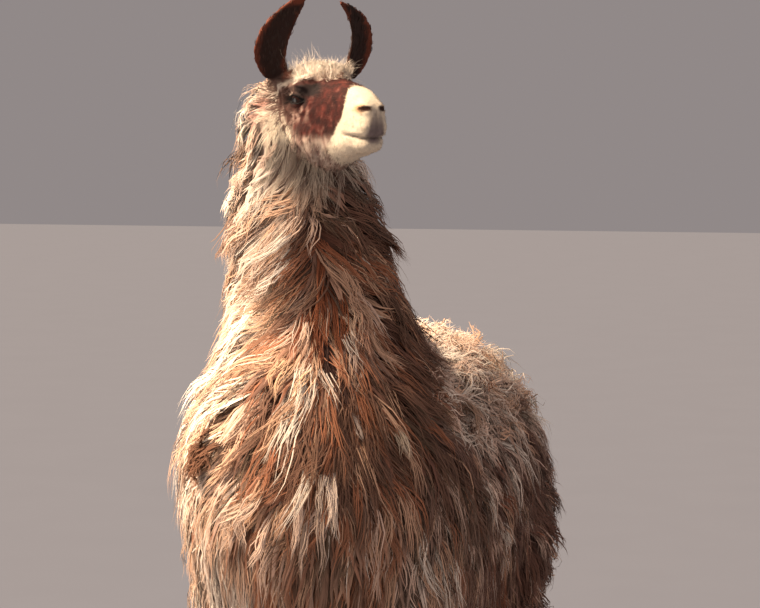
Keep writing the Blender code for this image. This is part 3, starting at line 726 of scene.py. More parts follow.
rng = np.random.default_rng(20)
graph = bpy.context.evaluated_depsgraph_get()
tree_of_hide = BVHTree.FromObject(hide, graph)
hide.data.calc_loop_triangles()
corners = np.empty(len(hide.data.loop_triangles) * 3, np.int32)
hide.data.loop_triangles.foreach_get("vertices", corners)
corners = corners.reshape(-1, 3)  # the three points of each face
owners = np.empty(len(corners), np.int32)
hide.data.loop_triangles.foreach_get("polygon_index", owners)
hide_points = points_of(hide.data)
hide_normals = normals_of(hide.data)
polygon_normals = np.zeros((len(hide.data.polygons), 3))
for k in range(3):
    np.add.at(polygon_normals, owners, hide_normals[corners[:, k]])
polygon_normals /= np.linalg.norm(polygon_normals, axis=1)[:, None]
face_middles = hide_points[corners].mean(1)
first, second, third = (hide_points[corners[:, k]] for k in range(3))
face_areas = np.linalg.norm(np.cross(second - first, third - first), axis=1) / 2
face_normals = polygon_normals[owners]


def unit(vectors):
    return vectors / np.maximum(np.linalg.norm(vectors, axis=-1, keepdims=True), 1e-9)


def nearest(points):
    """The nearest places on the skin, and the way out of it there."""
    found = [tree_of_hide.find_nearest(point) for point in points.tolist()]
    at = np.array([hit[0] for hit in found])
    return at, polygon_normals[[hit[2] for hit in found]]


def coat_parts():
    """The name of the part of the coat that each face of the skin carries. Later lines win."""
    x, y, height = face_middles.T
    ahead, _, _ = head_space(face_middles)
    upward = face_normals[:, 2]
    side = np.where(x > 0, "left", "right")
    parts = np.char.add("flank_", side).astype("<U16")
    parts[(upward > 0.22) & (height > 0.98)] = "back"
    parts[y > 0.38] = "rump"
    fore = behind_fore(face_middles) < 0
    on_breast = fore | ((y < -0.19) & (height < 0.98))
    parts[on_breast] = np.char.add("breast_", side)[on_breast]
    angle, _ = round_neck(face_middles)
    on_neck = (height > 1.04) & (fore | (height > 1.19)) & (y < 0)
    parts[on_neck] = np.char.add("neck_", np.where(angle > 0, "left", "right"))[on_neck]
    parts[(height < 0.66) & (upward < -0.45)] = "legs"
    parts[height < 0.52] = "legs"
    parts[height < 0.40] = "shins"
    parts[height < 0.13] = "feet"
    parts[(y > 0.60) & (height > 0.72) & (height < 0.99) & (abs(x) < 0.08)] = "tail"
    on_head = (height > 1.44) & (ahead > np.interp(height, (1.50, 1.54), (-0.075, -0.108)))
    parts[on_head] = "head"
    parts[ear_share(face_middles) > 0.5] = "ears"
    return parts


parts = coat_parts()


def roots_on(members, count):
    """Places spread evenly over those faces of the skin."""
    members = members[np.lexsort(np.round(face_middles[members] / 0.05).T)]  # in cells of 50 mm
    total = np.cumsum(face_areas[members])
    picks = (np.arange(count) + rng.random(count)) / count * total[-1]
    chosen = members[np.minimum(np.searchsorted(total, picks), len(members) - 1)]
    share = rng.random((count, 2))
    fold = share.sum(1) > 1
    share[fold] = 1 - share[fold]
    a, b, c = (hide_points[corners[chosen, k]] for k in range(3))
    return a + (b - a) * share[:, :1] + (c - a) * share[:, 1:], face_normals[chosen]


def lie_of_wool(at, normal):
    """The way that the wool lies on the neck, trunk, tail and legs."""
    x, y, height = at.T
    side = np.tanh(x / 0.03)
    way = np.stack([0.30 * side * ramp(normal[:, 2], 0.2, 0.8), 0.70 + 0 * x, -0.75 + 0 * x], 1)
    on_top = ramp(normal[:, 2], 0.55, 0.85)[:, None]
    way = way * (1 - on_top) + on_top * np.stack([0.55 * side, 0.75 + 0 * x, 0 * x], 1)
    behind = ramp(y, 0.42, 0.58)[:, None]
    way = way * (1 - behind) + behind * np.array((0, 0.25, -1))
    angle, rel = round_neck(at)
    past = np.stack([-rel[:, 1], rel[:, 0], 0 * x], 1) * np.sign(angle)[:, None]
    open_out = np.interp(height, (0.70, 1.00, 1.22, 1.34, 1.42, 1.52), (0.20, 0.45, 0.85, 1.00, 0.55, 0.35))
    narrow = np.interp(abs(angle), (0, 0.08, 0.9, 2.2, 3.1), (0.30, 0.9, 1.0, 0.55, 0.15))
    on_right = np.interp(angle, (-3.1, -2.2, -0.7, -0.22, 0), (0.15, 0.55, 1.0, 0.40, 0.05))
    on_left = np.interp(angle, (0, 0.22, 0.7, 1.1, 2.2, 3.1), (0.05, 0.4, 0.9, 0.4, 0.2, 0.1))
    broad = np.where(angle < 0, on_right, on_left)
    open_out *= narrow + (broad - narrow) * ramp(height, 1.33, 1.26)
    sweep = unit(past) * np.sin(open_out)[:, None] - np.array((0, 0, 1)) * np.cos(open_out)[:, None]
    in_front = fore_share(at)[:, None]
    way = way * (1 - in_front) + in_front * sweep
    on_leg = ramp(height, 0.62, 0.50)[:, None]
    way = way * (1 - on_leg) + on_leg * np.array((0, 0.15, -1))
    # Neighbouring locks drift the same way.
    drift = np.stack([cloud(at, 0.09, 21), cloud(at, 0.09, 22), cloud(at, 0.09, 23)], 1)
    return unit(way) + 0.34 * drift * (1 - 0.7 * on_leg)


ROOT_SUNK = 0.002  # roots start this far inside the skin


def lock_lines(roots, lengths, heights, lie, shape):
    """Lines that rise from the skin to the coat's height and hang free under the body."""
    count, steps = len(roots), max(shape["rings"], 6)
    line = np.empty((count, steps, 3))
    out = np.empty((count, steps, 3))
    at, normal = nearest(roots)
    line[:, 0] = at - normal * ROOT_SUNK
    out[:, 0] = normal
    drift = rng.normal(0, shape["wander"], (count, 3))
    for k in range(1, steps):
        share = k / (steps - 1)
        way = unit(lie(at, normal) + drift * (0.5 + share))
        way = unit(way - normal * (way * normal).sum(1)[:, None])
        at, normal = nearest(at + way * lengths[:, None] / (steps - 1))
        rise = ramp(share, 0, 0.5) + shape["flick"] * max(0, share - 0.6)
        free = (shape["hang"] * ramp(-normal[:, 2], 0.1, 0.6))[:, None]
        on_coat = at + normal * (coat_depth(at) * heights * rise)[:, None]
        fall = unit(way * 0.5 + np.array((0, 0, -1))) * lengths[:, None] / (steps - 1)
        line[:, k] = on_coat * (1 - free) + (line[:, k - 1] + fall) * free
        out[:, k] = normal
    return line, out


def along_line(line, share):
    """Points at a share of each line's length."""
    steps = line.shape[1] - 1
    place = np.clip(share, 0, 1) * steps
    start = np.minimum(place.astype(int), steps - 1)
    part = (place - start)[..., None]
    rows = np.arange(len(line))[:, None]
    return line[rows, start] * (1 - part) + line[rows, start + 1] * part


def wisps_of(line, out, shape):
    """Several wisps round each line, drawn together towards its tip."""
    per_lock, rings, frizz = shape["per_lock"], shape["rings"], shape["frizz"]
    count = len(line) * per_lock
    lock = np.repeat(np.arange(len(line)), per_lock)
    share = np.linspace(0, 1, rings)[None, :] * rng.uniform(0.62, 1.0, count)[:, None]
    centre = along_line(line[lock], share)
    normal = unit(along_line(out[lock], share))
    way = np.gradient(centre, axis=1)
    way = unit(way - normal * (way * normal).sum(-1)[..., None] * 0.5)
    across = unit(np.cross(way, normal))
    # Each wisp stands at its own place in the lock, and a few stray outwards.
    turn = rng.uniform(0, 2 * math.pi, count)
    reach = shape["spread"] * np.sqrt(rng.random(count))
    held = np.where(rng.random(count) < shape["stray"], -0.5, shape["clump"])[:, None]
    open_share = 1 - held * share**0.8
    grown = np.linspace(0, 1, rings)[None, :]
    place = centre + across * ((reach * np.cos(turn))[:, None] * open_share)[..., None]
    place += way * ((reach * np.sin(turn))[:, None] * open_share)[..., None]
    lift = (0.35 * reach * rng.random(count))[:, None] * open_share * ramp(grown, 0, 0.4)
    place += normal * lift[..., None]
    # The wave that a lock shares, and the frizz of each wisp.
    phase = (rng.random(len(line))[lock] + 0.12 * rng.normal(size=count))[:, None]
    swing = 2 * math.pi * (shape["turns"] * share + phase)
    size = shape["wave"] * (0.6 + 0.8 * rng.random(len(line))[lock])[:, None] * grown**0.7
    place += across * (size * np.sin(swing))[..., None]
    place += normal * (0.6 * size * np.cos(swing) * grown)[..., None]
    place += rng.normal(0, frizz, (count, 1, 3)) * (grown**1.5)[..., None]
    place += rng.normal(0, frizz * 0.5, (count, 1, 3)) * np.sin(math.pi * grown)[..., None]
    place += rng.normal(0, frizz * 0.22, (count, rings, 3)) * ramp(grown, 0, 0.3)[..., None]
    return place, across[:, 0], normal, lock


def lock_colours(roots, lock, contrast):
    """One wool for each lock, by the shares of that part of the coat, with a few hairs of others."""
    shares = wool_shares(roots)
    middle = (shares @ WOOL_COLOURS)[lock]
    limits = np.cumsum(shares, axis=1)
    draw = 0.5 + 0.40 * cloud(roots, 0.055, 24) + 0.85 * (rng.random(len(roots)) - 0.5)
    of_lock = (draw.clip(0, 1)[:, None] > limits).sum(1)[lock]
    of_wisp = (rng.random(len(lock))[:, None] > limits[lock]).sum(1)
    pick = np.where(rng.random(len(lock)) < 0.10, of_wisp, of_lock).clip(0, len(WOOL_COLOURS) - 1)
    mixed = middle + (WOOL_COLOURS[pick] - middle) * contrast
    return mixed * np.exp(0.11 * rng.normal(size=len(roots)))[lock][:, None]


PATCH = 0.003  # width of a wisp's patch on the unwrap
LANE_RANGE = 90  # far apart, so that no two wisps carry the same rows of hairs
LANES_ACROSS = 2400  # rows for each metre of half width
LANES_ALONG = 1.3


def strands(name, place, across, out, tone, shape, look, chart):
    """Thin closed wisps with three sides, ending in a point, as one mesh, shaded as one soft coat."""
    count, rings, _ = place.shape
    normal = out[:, 0]
    way = unit(np.gradient(place, axis=1))
    roll = rng.uniform(-0.35, 0.35, count)[:, None]
    side = across * np.cos(roll) + normal * np.sin(roll)
    side = unit(side[:, None, :] - way * (way * side[:, None, :]).sum(-1)[..., None])
    over = np.cross(way, side)
    over *= np.sign((over * normal[:, None, :]).sum(-1).mean(1) + 1e-9)[:, None, None]
    flip = (np.cross(way, side) * over).sum(-1).mean(1) < 0
    side[flip] *= -1
    taper = np.interp(np.linspace(0, 1, rings), (0, 0.25, 0.6, 0.85, 1), (0.8, 1, 0.8, 0.42, 0.0))
    half_width = shape["half_width"]
    width = ((half_width * rng.uniform(0.45, 1.25, count))[:, None] * taper[None, :])[..., None]
    ridge = place + over * width * shape["flat"]
    body = np.stack([place - side * width, place + side * width, ridge], 2)[:, :-1]
    spots = np.concatenate([body.reshape(count, -1, 3), place[:, -1:]], axis=1)
    each = spots.shape[1]
    faces = [(0, 2, 1)]
    for ring in range(rings - 1):
        low, top = 3 * ring, ring == rings - 2
        for a, b in ((0, 1), (1, 2), (2, 0)):
            faces.append((low + a, low + b, low + 3) if top else (low + a, low + b, low + b + 3, low + a + 3))
    pattern = np.concatenate([np.array(face) for face in faces])
    corners_of = (pattern[None, :] + (np.arange(count) * each)[:, None]).ravel()
    sizes = np.tile([len(face) for face in faces], count)
    mesh = bpy.data.meshes.new(name)
    mesh.vertices.add(count * each)
    mesh.vertices.foreach_set("co", spots.astype(np.float32).ravel())
    mesh.loops.add(len(corners_of))
    mesh.loops.foreach_set("vertex_index", corners_of.astype(np.int32))
    mesh.polygons.add(len(sizes))
    starts = np.concatenate([[0], np.cumsum(sizes)[:-1]]).astype(np.int32)
    mesh.polygons.foreach_set("loop_start", starts)
    mesh.polygons.foreach_set("use_smooth", np.ones(len(sizes), bool))
    mesh.update(calc_edges=True)
    grown = np.append(np.repeat(np.arange(rings - 1), 3), rings - 1) / (rings - 1)
    # Darker roots and paler tips: the sun bleaches the tips, and the darker roots are partly painted shade
    # deep in the coat.
    root_tone_with_shade = tone * look["root"]
    tip_tone = tone * look["tip"] + (np.array(linear(look["bleach"])) - tone) * look["bleached"]
    colours = root_tone_with_shade[:, None, :] + (tip_tone - root_tone_with_shade)[:, None, :] * (grown**0.7)[None, :, None]
    paint(mesh, colours.reshape(-1, 3))
    # Rows of single hairs run along each wisp.
    sides = np.append(np.tile((0.0, 1.0, 0.5), rings - 1), 0.5)
    lanes = np.zeros((count, each, 3), np.float32)
    lanes[..., 0] = (rng.random(count) * LANE_RANGE)[:, None] + sides[None, :] * half_width * LANES_ACROSS
    lanes[..., 1] = grown[None, :] * LANES_ALONG
    layer = mesh.attributes.new("lane", "FLOAT_VECTOR", "POINT")
    layer.data.foreach_set("vector", lanes.ravel())
    # The coat scatters light between its hairs, so a wisp is shaded partly as the coat is.
    under_tip = place[:, -1:] - way[:, -1:] * 0.001
    middles = np.concatenate([np.repeat(place[:, :-1], 3, axis=1), under_tip], axis=1)
    outs = np.concatenate([np.repeat(out[:, :-1], 3, axis=1), out[:, -1:]], axis=1)
    lit = unit(unit(spots - middles) * (1 - look["soft"]) + outs * look["soft"])
    mesh.normals_split_custom_set_from_vertices(lit.reshape(-1, 3).tolist())
    # The patch of each wisp lies at its root's place on the unwrap of the skin.
    turn, along = chart(place[:, 0])
    turn = (turn - turn.min()) / np.ptp(turn)
    along = (along - along.min()) / np.ptp(along)
    start = np.stack([turn, along], 1) * (1 - 2 * PATCH)
    rises = grown + np.append(np.tile((0.0, 0.0, 0.08), rings - 1), 0.0)
    spot_uv = start[:, None, :] + np.stack([sides, rises], 1)[None] * PATCH
    layer = mesh.uv_layers.new(name="OFBake")
    layer.data.foreach_set("uv", spot_uv.reshape(-1, 2)[corners_of].astype(np.float32).ravel())
    return new_object(name, mesh)


def wool_material(name, roughness, gloss, contrast):
    """Dry wool: each lock has its own tone, with paler and darker rows of single hairs."""
    made, tree = new_material(name)
    coat = add_node(tree, "Attribute", attribute_name="coat").outputs["Color"]
    lane = add_node(tree, "Attribute", attribute_name="lane").outputs["Vector"]
    hairs = add_node(tree, "TexNoise", {"Vector": lane, "Scale": 1, "Detail": 2}).outputs["Fac"]
    darkest, palest = 1 - contrast, 1 + 0.8 * contrast
    shade = add_node(
        tree, "MapRange",
        {"Value": hairs, "From Min": 0.32, "From Max": 0.68, "To Min": darkest, "To Max": palest},
    )
    tone = add_node(tree, "VectorMath", {0: coat, 1: shade.outputs[0]}, operation="MULTIPLY").outputs[0]
    surface = add_node(
        tree, "BsdfPrincipled", {"Base Color": tone, "Roughness": roughness, "Specular IOR Level": gloss}
    )
    add_node(tree, "OutputMaterial", {"Surface": surface.outputs[0]})
    return made


wool = wool_material("dry uncombed llama wool", 0.75, 0.25, 0.26)


def round_trunk(points):
    return np.arctan2(points[:, 0], points[:, 2] - 0.88), points[:, 1]


def round_the_neck(points):
    return round_neck(points)[0], points[:, 2]


def round_legs(points):
    x, y, height = points.T
    centre = np.where(y < 0, -0.345, 0.44)
    angle = np.arctan2(x - 0.122 * np.sign(x), -(y - centre)) / (2 * math.pi) + 0.5
    return angle + 1.1 * (x > 0) + 2.2 * (y > 0), height


def coat_piece(name, line, out, tone_of, shape, look, chart, material):
    """Wisps along those lines as one piece of the coat, each in the tone of its lock."""
    place, across, out, lock = wisps_of(line, out, shape)
    tone = tone_of(lock)
    if look["vary"]:
        tone = tone * np.exp(look["vary"] * rng.normal(size=len(lock)))[:, None]
    piece = strands(name, place, across, out, tone, shape, look, chart)
    piece.data.materials.append(material)
    return piece


PROUD_LIFT = 1.35  # a proud lock stands higher than its neighbours by this


def grow(name, members, look, wisps, lengths, heights, lie, shape, chart, colours=lock_colours,
         material=wool):
    """Covers faces of the skin with locks and makes them one piece."""
    roots, _ = roots_on(members, wisps // shape["per_lock"])
    reach = lengths(roots) * rng.uniform(0.75, 1.2, len(roots))
    rise = rng.uniform(*heights, len(roots))
    rise *= np.where(rng.random(len(roots)) < shape["proud"], PROUD_LIFT, 1)
    line, out = lock_lines(roots, reach, rise, lie, shape)
    piece = coat_piece(
        name, line, out, lambda lock: colours(roots, lock, look["contrast"]), shape, look, chart, material
    )
    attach(piece, "root")


# A shape says how a lock is built: wisps in it, rings and half width of a wisp, spread at the
# root, how far the tips close up, wave and frizz, share of strays, how far its way wanders,
# how freely it hangs under the body, how its tip lifts, share of proud locks, flatness.
LONG_LOCKS = {
    "per_lock": 13, "rings": 6, "half_width": 0.0014, "spread": 0.014, "clump": 0.72, "wave": 0.0065,
    "turns": 1.3, "frizz": 0.0042, "stray": 0.09, "wander": 0.15, "hang": 1.0, "flick": 0.28,
    "proud": 0.14, "flat": 0.40,
}
# A look says how far the wools differ, how each wisp varies, how bright root and tip are, the
# colour to which tips bleach and how far, and how much a wisp is shaded as the coat is.
# Darker roots are partly painted shade deep in the coat.
LONG_LOOK = {
    "contrast": 0.85, "vary": 0.07, "root": 0.76, "tip": 1.10, "bleach": "#F2CDA2", "bleached": 0.14,
    "soft": 0.75,
}


def neck_lengths(at):
    return np.interp(at[:, 2], (1.00, 1.20, 1.38, 1.50, 1.58), (0.160, 0.150, 0.120, 0.072, 0.045))


def trunk_lengths(at):
    longest = np.interp(at[:, 2], (0.60, 0.75, 1.00, 1.15), (0.090, 0.150, 0.150, 0.095))
    return np.minimum(longest, 0.045 + 1.1 * np.maximum(at[:, 2] - 0.58, 0))


def members_of(*names):
    """Faces of the skin in those parts of the coat, those along the parting counted three times."""
    members = np.nonzero(np.isin(parts, names))[0]
    middles = face_middles[members]
    angle, _ = round_neck(middles)
    close = members[(abs(angle) < 0.22) & (middles[:, 1] < -0.25) & (middles[:, 2] > 0.9)]
    return np.concatenate([members, close, close])


# Underwool: broad flat locks close to the skin, darker, that close the coat.
UNDERWOOL = {
    **LONG_LOCKS, "per_lock": 4, "rings": 5, "half_width": 0.0040, "spread": 0.012, "proud": 0, "wave": 0.003,
}
UNDER_LOOK = {**LONG_LOOK, "contrast": 0.4, "root": 0.92, "tip": 1.06, "bleached": 0.05}
grow("underwool_fore", members_of("neck_left", "neck_right", "breast_left", "breast_right"), UNDER_LOOK,
     3000, neck_lengths, (0.50, 0.88), lie_of_wool, UNDERWOOL, round_trunk)
grow("underwool_aft", members_of("flank_left", "flank_right", "back", "rump"), UNDER_LOOK,
     2300, trunk_lengths, (0.50, 0.88), lie_of_wool, UNDERWOOL, round_trunk)
for side in ("left", "right"):
    grow(f"neck_wool_{side}", members_of(f"neck_{side}"), {**LONG_LOOK, "root": 0.84},
         5800, neck_lengths, (0.60, 1.08), lie_of_wool, LONG_LOCKS, round_the_neck)
    grow(f"breast_wool_{side}", members_of(f"breast_{side}"), LONG_LOOK,
         4100, trunk_lengths, (0.60, 1.08), lie_of_wool, LONG_LOCKS, round_trunk)
    grow(f"flank_wool_{side}", members_of(f"flank_{side}"), {**LONG_LOOK, "bleached": 0.07},
         3700, trunk_lengths, (0.50, 1.05), lie_of_wool, LONG_LOCKS, round_trunk)

# Locks that stand out of the rest: place of the root, way, length, spread of the roots, number
# of locks, wool, lift as a share of the coat's depth and size of the curl.
OWN_LOCKS = (
    ((0.052, -0.535, 1.285), (0.03, 0, -1), 0.155, 0.030, 5, "#945638", 1.00, 0.004),
    ((0.045, -0.555, 1.215), (-0.05, 0, -1), 0.150, 0.034, 4, "#8C5036", 1.00, 0.004),
    ((0.060, -0.545, 1.190), (0.08, 0, -1), 0.150, 0.040, 4, "#432A22", 1.00, 0.004),
    ((0.085, -0.520, 1.235), (0.40, 0, -1), 0.100, 0.030, 2, "#D8B296", 1.10, 0.010),
    ((0.105, -0.500, 1.215), (0.45, 0, -1), 0.090, 0.030, 3, "#B98D74", 1.15, 0.010),
    ((0.020, -0.550, 1.170), (-0.25, 0, -1), 0.120, 0.030, 3, "#D6AC8A", 1.10, 0.007),
    ((0.118, -0.395, 1.345), (0.80, 0.10, -0.55), 0.090, 0.008, 4, "#8E6048", 1.30, 0.002),
    ((-0.125, -0.530, 1.000), (-0.25, 0, -1), 0.060, 0.020, 18, "#835942", 1.35, 0.008),
    ((0.124, -0.470, 1.028), (0.30, -0.10, -1), 0.080, 0.008, 2, "#D9BFA4", 1.30, 0.002),
    ((0.225, -0.250, 1.080), (0.15, -0.05, -1), 0.090, 0.010, 4, "#C49C80", 1.20, 0.006),
    ((0.080, -0.555, 0.985), (-0.08, 0, -1), 0.110, 0.014, 4, "#EFD3BC", 1.35, 0.003),
    ((0.055, -0.560, 0.930), (-0.08, 0, -1), 0.120, 0.018, 4, "#E6C4AC", 1.35, 0.003),
    ((-0.020, -0.560, 0.930), (-0.30, 0, -1), 0.120, 0.035, 3, "#E0BEA6", 1.30, 0.012),
    ((-0.130, -0.440, 1.350), (-0.75, 0.15, -0.60), 0.070, 0.010, 3, "#B98058", 1.25, 0.003),
)
roots, ways, reaches, tones, lifts, curls = [], [], [], [], [], []
for place, way, length, scatter, number, hex_colour, lift, curl in OWN_LOCKS:
    roots.append(np.array(place) + rng.normal(0, scatter * 0.6, (number, 3)))
    ways.append(np.array(way) + rng.normal(0, 0.10, (number, 3)))
    reaches.append(length * rng.uniform(0.75, 1.15, number))
    tones.append(np.array(linear(hex_colour)) * np.exp(0.12 * rng.normal(size=(number, 1))))
    lifts.append(np.full(number, lift))
    curls.append(np.full(number, curl))
roots, ways, reaches, tones, lifts, curls = map(np.concatenate, (roots, ways, reaches, tones, lifts, curls))
steps = 7
at, normal = nearest(roots)
line, out = np.empty((len(roots), steps, 3)), np.empty((len(roots), steps, 3))
line[:, 0], out[:, 0] = at - normal * ROOT_SUNK, normal
for k in range(1, steps):
    at, normal = nearest(at + unit(ways) * reaches[:, None] / (steps - 1))
    share = k / (steps - 1)
    free = ramp(share, 0.4, 1.0) * np.minimum(1, 1.3 * abs(unit(ways)[:, :2]).max(1))[:, None]
    onward = line[:, k - 1] + unit(ways) * reaches[:, None] / (steps - 1)
    resting = at + normal * (coat_depth(at) * lifts * ramp(share, 0, 0.45))[:, None]
    line[:, k] = resting * (1 - free) + onward * free
    out[:, k] = normal
OWN_SHAPE = {
    **LONG_LOCKS, "per_lock": 16, "rings": 8, "spread": 0.010, "clump": 0.80, "turns": 1.4, "frizz": 0.003,
    "stray": 0.04, "flat": 0.45,
}
OWN_SHAPE["wave"] = np.repeat(curls, OWN_SHAPE["per_lock"])[:, None]
OWN_LOOK = {**LONG_LOOK, "vary": 0.08, "root": 0.6, "tip": 1.08, "bleached": 0, "soft": 0.6}
own_locks = coat_piece(
    "own_locks", line, out, lambda lock: tones[lock], OWN_SHAPE, OWN_LOOK, round_trunk, wool
)
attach(own_locks, "root")

# The back: shorter, tangled and matted, sun-bleached to pinkish beige and curled.
CURLED = {
    **LONG_LOCKS, "per_lock": 10, "wave": 0.0085, "turns": 2.0, "frizz": 0.008, "wander": 0.9,
    "clump": 0.60, "spread": 0.013, "flick": 0.2, "half_width": 0.0016,
}


def back_lengths(at):
    return np.full(len(at), 0.064)


grow("back_wool", members_of("back"), {**LONG_LOOK, "root": 0.78, "tip": 1.30},
     5600, back_lengths, (0.45, 1.05), lie_of_wool, CURLED, round_trunk)
grow("rump_wool", members_of("rump"), LONG_LOOK,
     2400, trunk_lengths, (0.5, 1.05), lie_of_wool, {**LONG_LOCKS, "half_width": 0.0019}, round_trunk)


def tail_lengths(at):
    return np.interp(at[:, 2], (0.74, 0.80, 0.95), (0.020, 0.055, 0.080))


def round_tail(points):
    return np.arctan2(points[:, 0], points[:, 1] - 0.648), points[:, 2]


grow("tail_wool", members_of("tail"), LONG_LOOK,
     800, tail_lengths, (0.5, 1.0), lie_of_wool, {**LONG_LOCKS, "spread": 0.008, "hang": 0.3}, round_tail)

# Thighs, belly and shins: the wool runs out below the knees and hocks into short hair.


def leg_lengths(at):
    up_the_leg = (0.10, 0.24, 0.40, 0.46, 0.55, 0.65)
    return np.interp(at[:, 2], up_the_leg, (0.014, 0.020, 0.032, 0.045, 0.070, 0.060))


LEG_LOCKS = {
    **LONG_LOCKS, "per_lock": 8, "rings": 5, "spread": 0.009, "hang": 0.5, "flick": 0.1, "wave": 0.002,
    "proud": 0,
}
SHIN_HAIR = {
    **LONG_LOCKS, "per_lock": 3, "rings": 4, "half_width": 0.0012, "spread": 0.006, "clump": 0.25,
    "wave": 0.0005, "frizz": 0.0010, "stray": 0.03, "hang": 0.3, "flick": 0.05, "proud": 0, "flat": 0.25,
}
SHIN_LOOK = {**LONG_LOOK, "contrast": 0.35, "root": 0.92, "tip": 1.04, "vary": 0.06}
grow("leg_wool", members_of("legs"), {**LONG_LOOK, "contrast": 0.5},
     2400, leg_lengths, (0.5, 1.0), lie_of_wool, LEG_LOCKS, round_legs)
grow("shin_hair", members_of("shins"), SHIN_LOOK,
     3800, leg_lengths, (0.3, 0.8), lie_of_wool, SHIN_HAIR, round_legs)

# --- Short hair of the head, ears and feet -------------------------------------------------
# Straight, close hair a few millimetres long that breaks the outline of the skin. On the
# crown it stands up in a thin cream forelock, and on the cheeks it lengthens into the wool.

HAIR = {
    "per_lock": 5, "rings": 4, "half_width": 0.0006, "spread": 0.0028, "clump": 0.4, "wave": 0.0003,
    "turns": 0.8, "frizz": 0.0009, "stray": 0.03, "wander": 0.12, "hang": 0.0, "flick": 0.1,
    "proud": 0.03, "flat": 0.30,
}
SHORT_LOOK = {
    "contrast": 1.0, "vary": 0.09, "root": 0.93, "tip": 1.05, "bleach": "#FFF4E4", "bleached": 0.03,
    "soft": 0.85,
}
hair = wool_material("short dry llama hair", 0.80, 0.20, 0.12)


def marking_colours_with_painted_light(roots, lock, contrast):
    return markings_with_painted_light(roots)[lock] * contrast


def lie_of_hair(at, normal):
    """Back from the muzzle, down over the cheeks, and up into the forelock."""
    ahead, _, height = head_space(at)
    back, down = -np.array(AHEAD), np.array((0, 0, -1.0))
    low = ramp(height, 1.560, 1.500)[:, None]
    way = back * (1 - 0.55 * low) + down * (0.25 + 0.75 * low)
    crown = ramp(height, 1.597, 1.612)[:, None] * ramp(ahead, 0.06, 0.03)[:, None]
    standing = np.array(AHEAD) * 0.15 + np.array((0, 0, 0.6)) + normal * 0.3
    return way * (1 - crown) + crown * standing


def head_lengths(at):
    ahead, _, height = head_space(at)
    back_to_front = (-0.08, -0.04, 0.0, 0.04, 0.10, 0.15)
    length = np.interp(ahead, back_to_front, (0.040, 0.024, 0.012, 0.008, 0.006, 0.004))
    cheek = ramp(height, 1.525, 1.485) * ramp(ahead, 0.08, 0.03)
    return length * (1 + 1.8 * cheek)


def flat_haired(middles):
    """Faces in front of the cheeks, where the hair is a flat nap that only fine hairs break."""
    ahead, _, height = head_space(middles)
    behind = np.interp(height, (1.48, 1.50, 1.53, 1.56), (0.08, 0.05, 0.00, -0.03))
    return (ahead > behind) & (height < 1.602)


def round_head(points):
    ahead, right, height = head_space(points)
    return np.arctan2(right, height - 1.54), ahead


head_members = members_of("head")
flat_faces = flat_haired(face_middles[head_members])
FACE_HAIR = {
    **HAIR, "per_lock": 2, "half_width": 0.00030, "spread": 0.0030, "wander": 0.16, "clump": 0.2,
    "flick": 0, "proud": 0, "flat": 0.2,
}
CHEEK_HAIR = {**HAIR, "spread": 0.004, "wander": 0.2, "frizz": 0.002, "wave": 0.001}
grow("face_nap", head_members[flat_faces], {**SHORT_LOOK, "soft": 0.9, "root": 1.0, "tip": 1.04},
     5000, head_lengths, (0.1, 0.4), lie_of_hair, FACE_HAIR, round_head, marking_colours_with_painted_light, hair)
grow("cheek_hair", head_members[~flat_faces], SHORT_LOOK,
     4400, head_lengths, (0.5, 1.0), lie_of_hair, CHEEK_HAIR, round_head, marking_colours_with_painted_light, hair)


def lie_up(at, normal):
    return np.array(AHEAD) * 0.10 + np.array((0, 0, 1.0)) + 0 * at


def ear_lengths(at):
    return np.full(len(at), 0.014)


def round_ears(points):
    ahead, right, height = head_space(points)
    return np.arctan2(abs(right) - 0.065, ahead + 0.01) + 7 * (right > 0), height


grow("ear_hair", members_of("ears"), SHORT_LOOK,
     2000, ear_lengths, (0.6, 1.1), lie_up, HAIR, round_ears, marking_colours_with_painted_light, hair)


def foot_lengths(at):
    return np.full(len(at), 0.010)


# Not on the soles, and not so low that a tip would reach through the floor.
on_foot = (parts == "feet") & (face_normals[:, 2] > -0.5) & (face_middles[:, 2] > 0.016)
grow("foot_hair", np.nonzero(on_foot)[0], SHORT_LOOK,
     2000, foot_lengths, (0.5, 1.0), lie_of_wool, {**HAIR, "half_width": 0.0010}, round_legs,
     marking_colours_with_painted_light, hair)

# The forelock stands up and forward between the ears, thin enough to see through.
FORELOCK = {
    **HAIR, "per_lock": 6, "rings": 5, "half_width": 0.0004, "spread": 0.005, "clump": 0.6, "wave": 0.0016,
    "turns": 0.9, "frizz": 0.004, "stray": 0.08, "flat": 0.5,
}
FORELOCK_LOOK = {**SHORT_LOOK, "vary": 0, "root": 0.9, "tip": 1.05, "bleached": 0, "soft": 0.7}
FORELOCK_LOCKS = 260
FORELOCK_SUNK = 0.003
ahead, _, height = head_space(face_middles)
crown = (height > 1.598) & (ahead > -0.075) & (ahead < 0.045) & (ear_share(face_middles) < 0.5)
roots, normals = roots_on(np.nonzero(crown)[0], FORELOCK_LOCKS)
reach = rng.uniform(0.012, 0.028, len(roots)) * np.where(rng.random(len(roots)) < 0.10, 1.5, 1)
steps = np.linspace(0, 1, 6)[None, :, None]
lean = np.array(UP) * 0.6 + normals * 0.5 + np.array(AHEAD) * 0.30 + rng.normal(0, 0.50, (len(roots), 3))
line = roots[:, None, :] - normals[:, None, :] * FORELOCK_SUNK
line = line + unit(lean)[:, None, :] * steps * reach[:, None, None]
line += (rng.normal(0, 0.009, (len(roots), 3)) + np.array(AHEAD) * 0.006)[:, None, :] * steps**2
out = np.repeat(unit(normals + np.array(UP) * 0.5)[:, None, :], 6, axis=1)


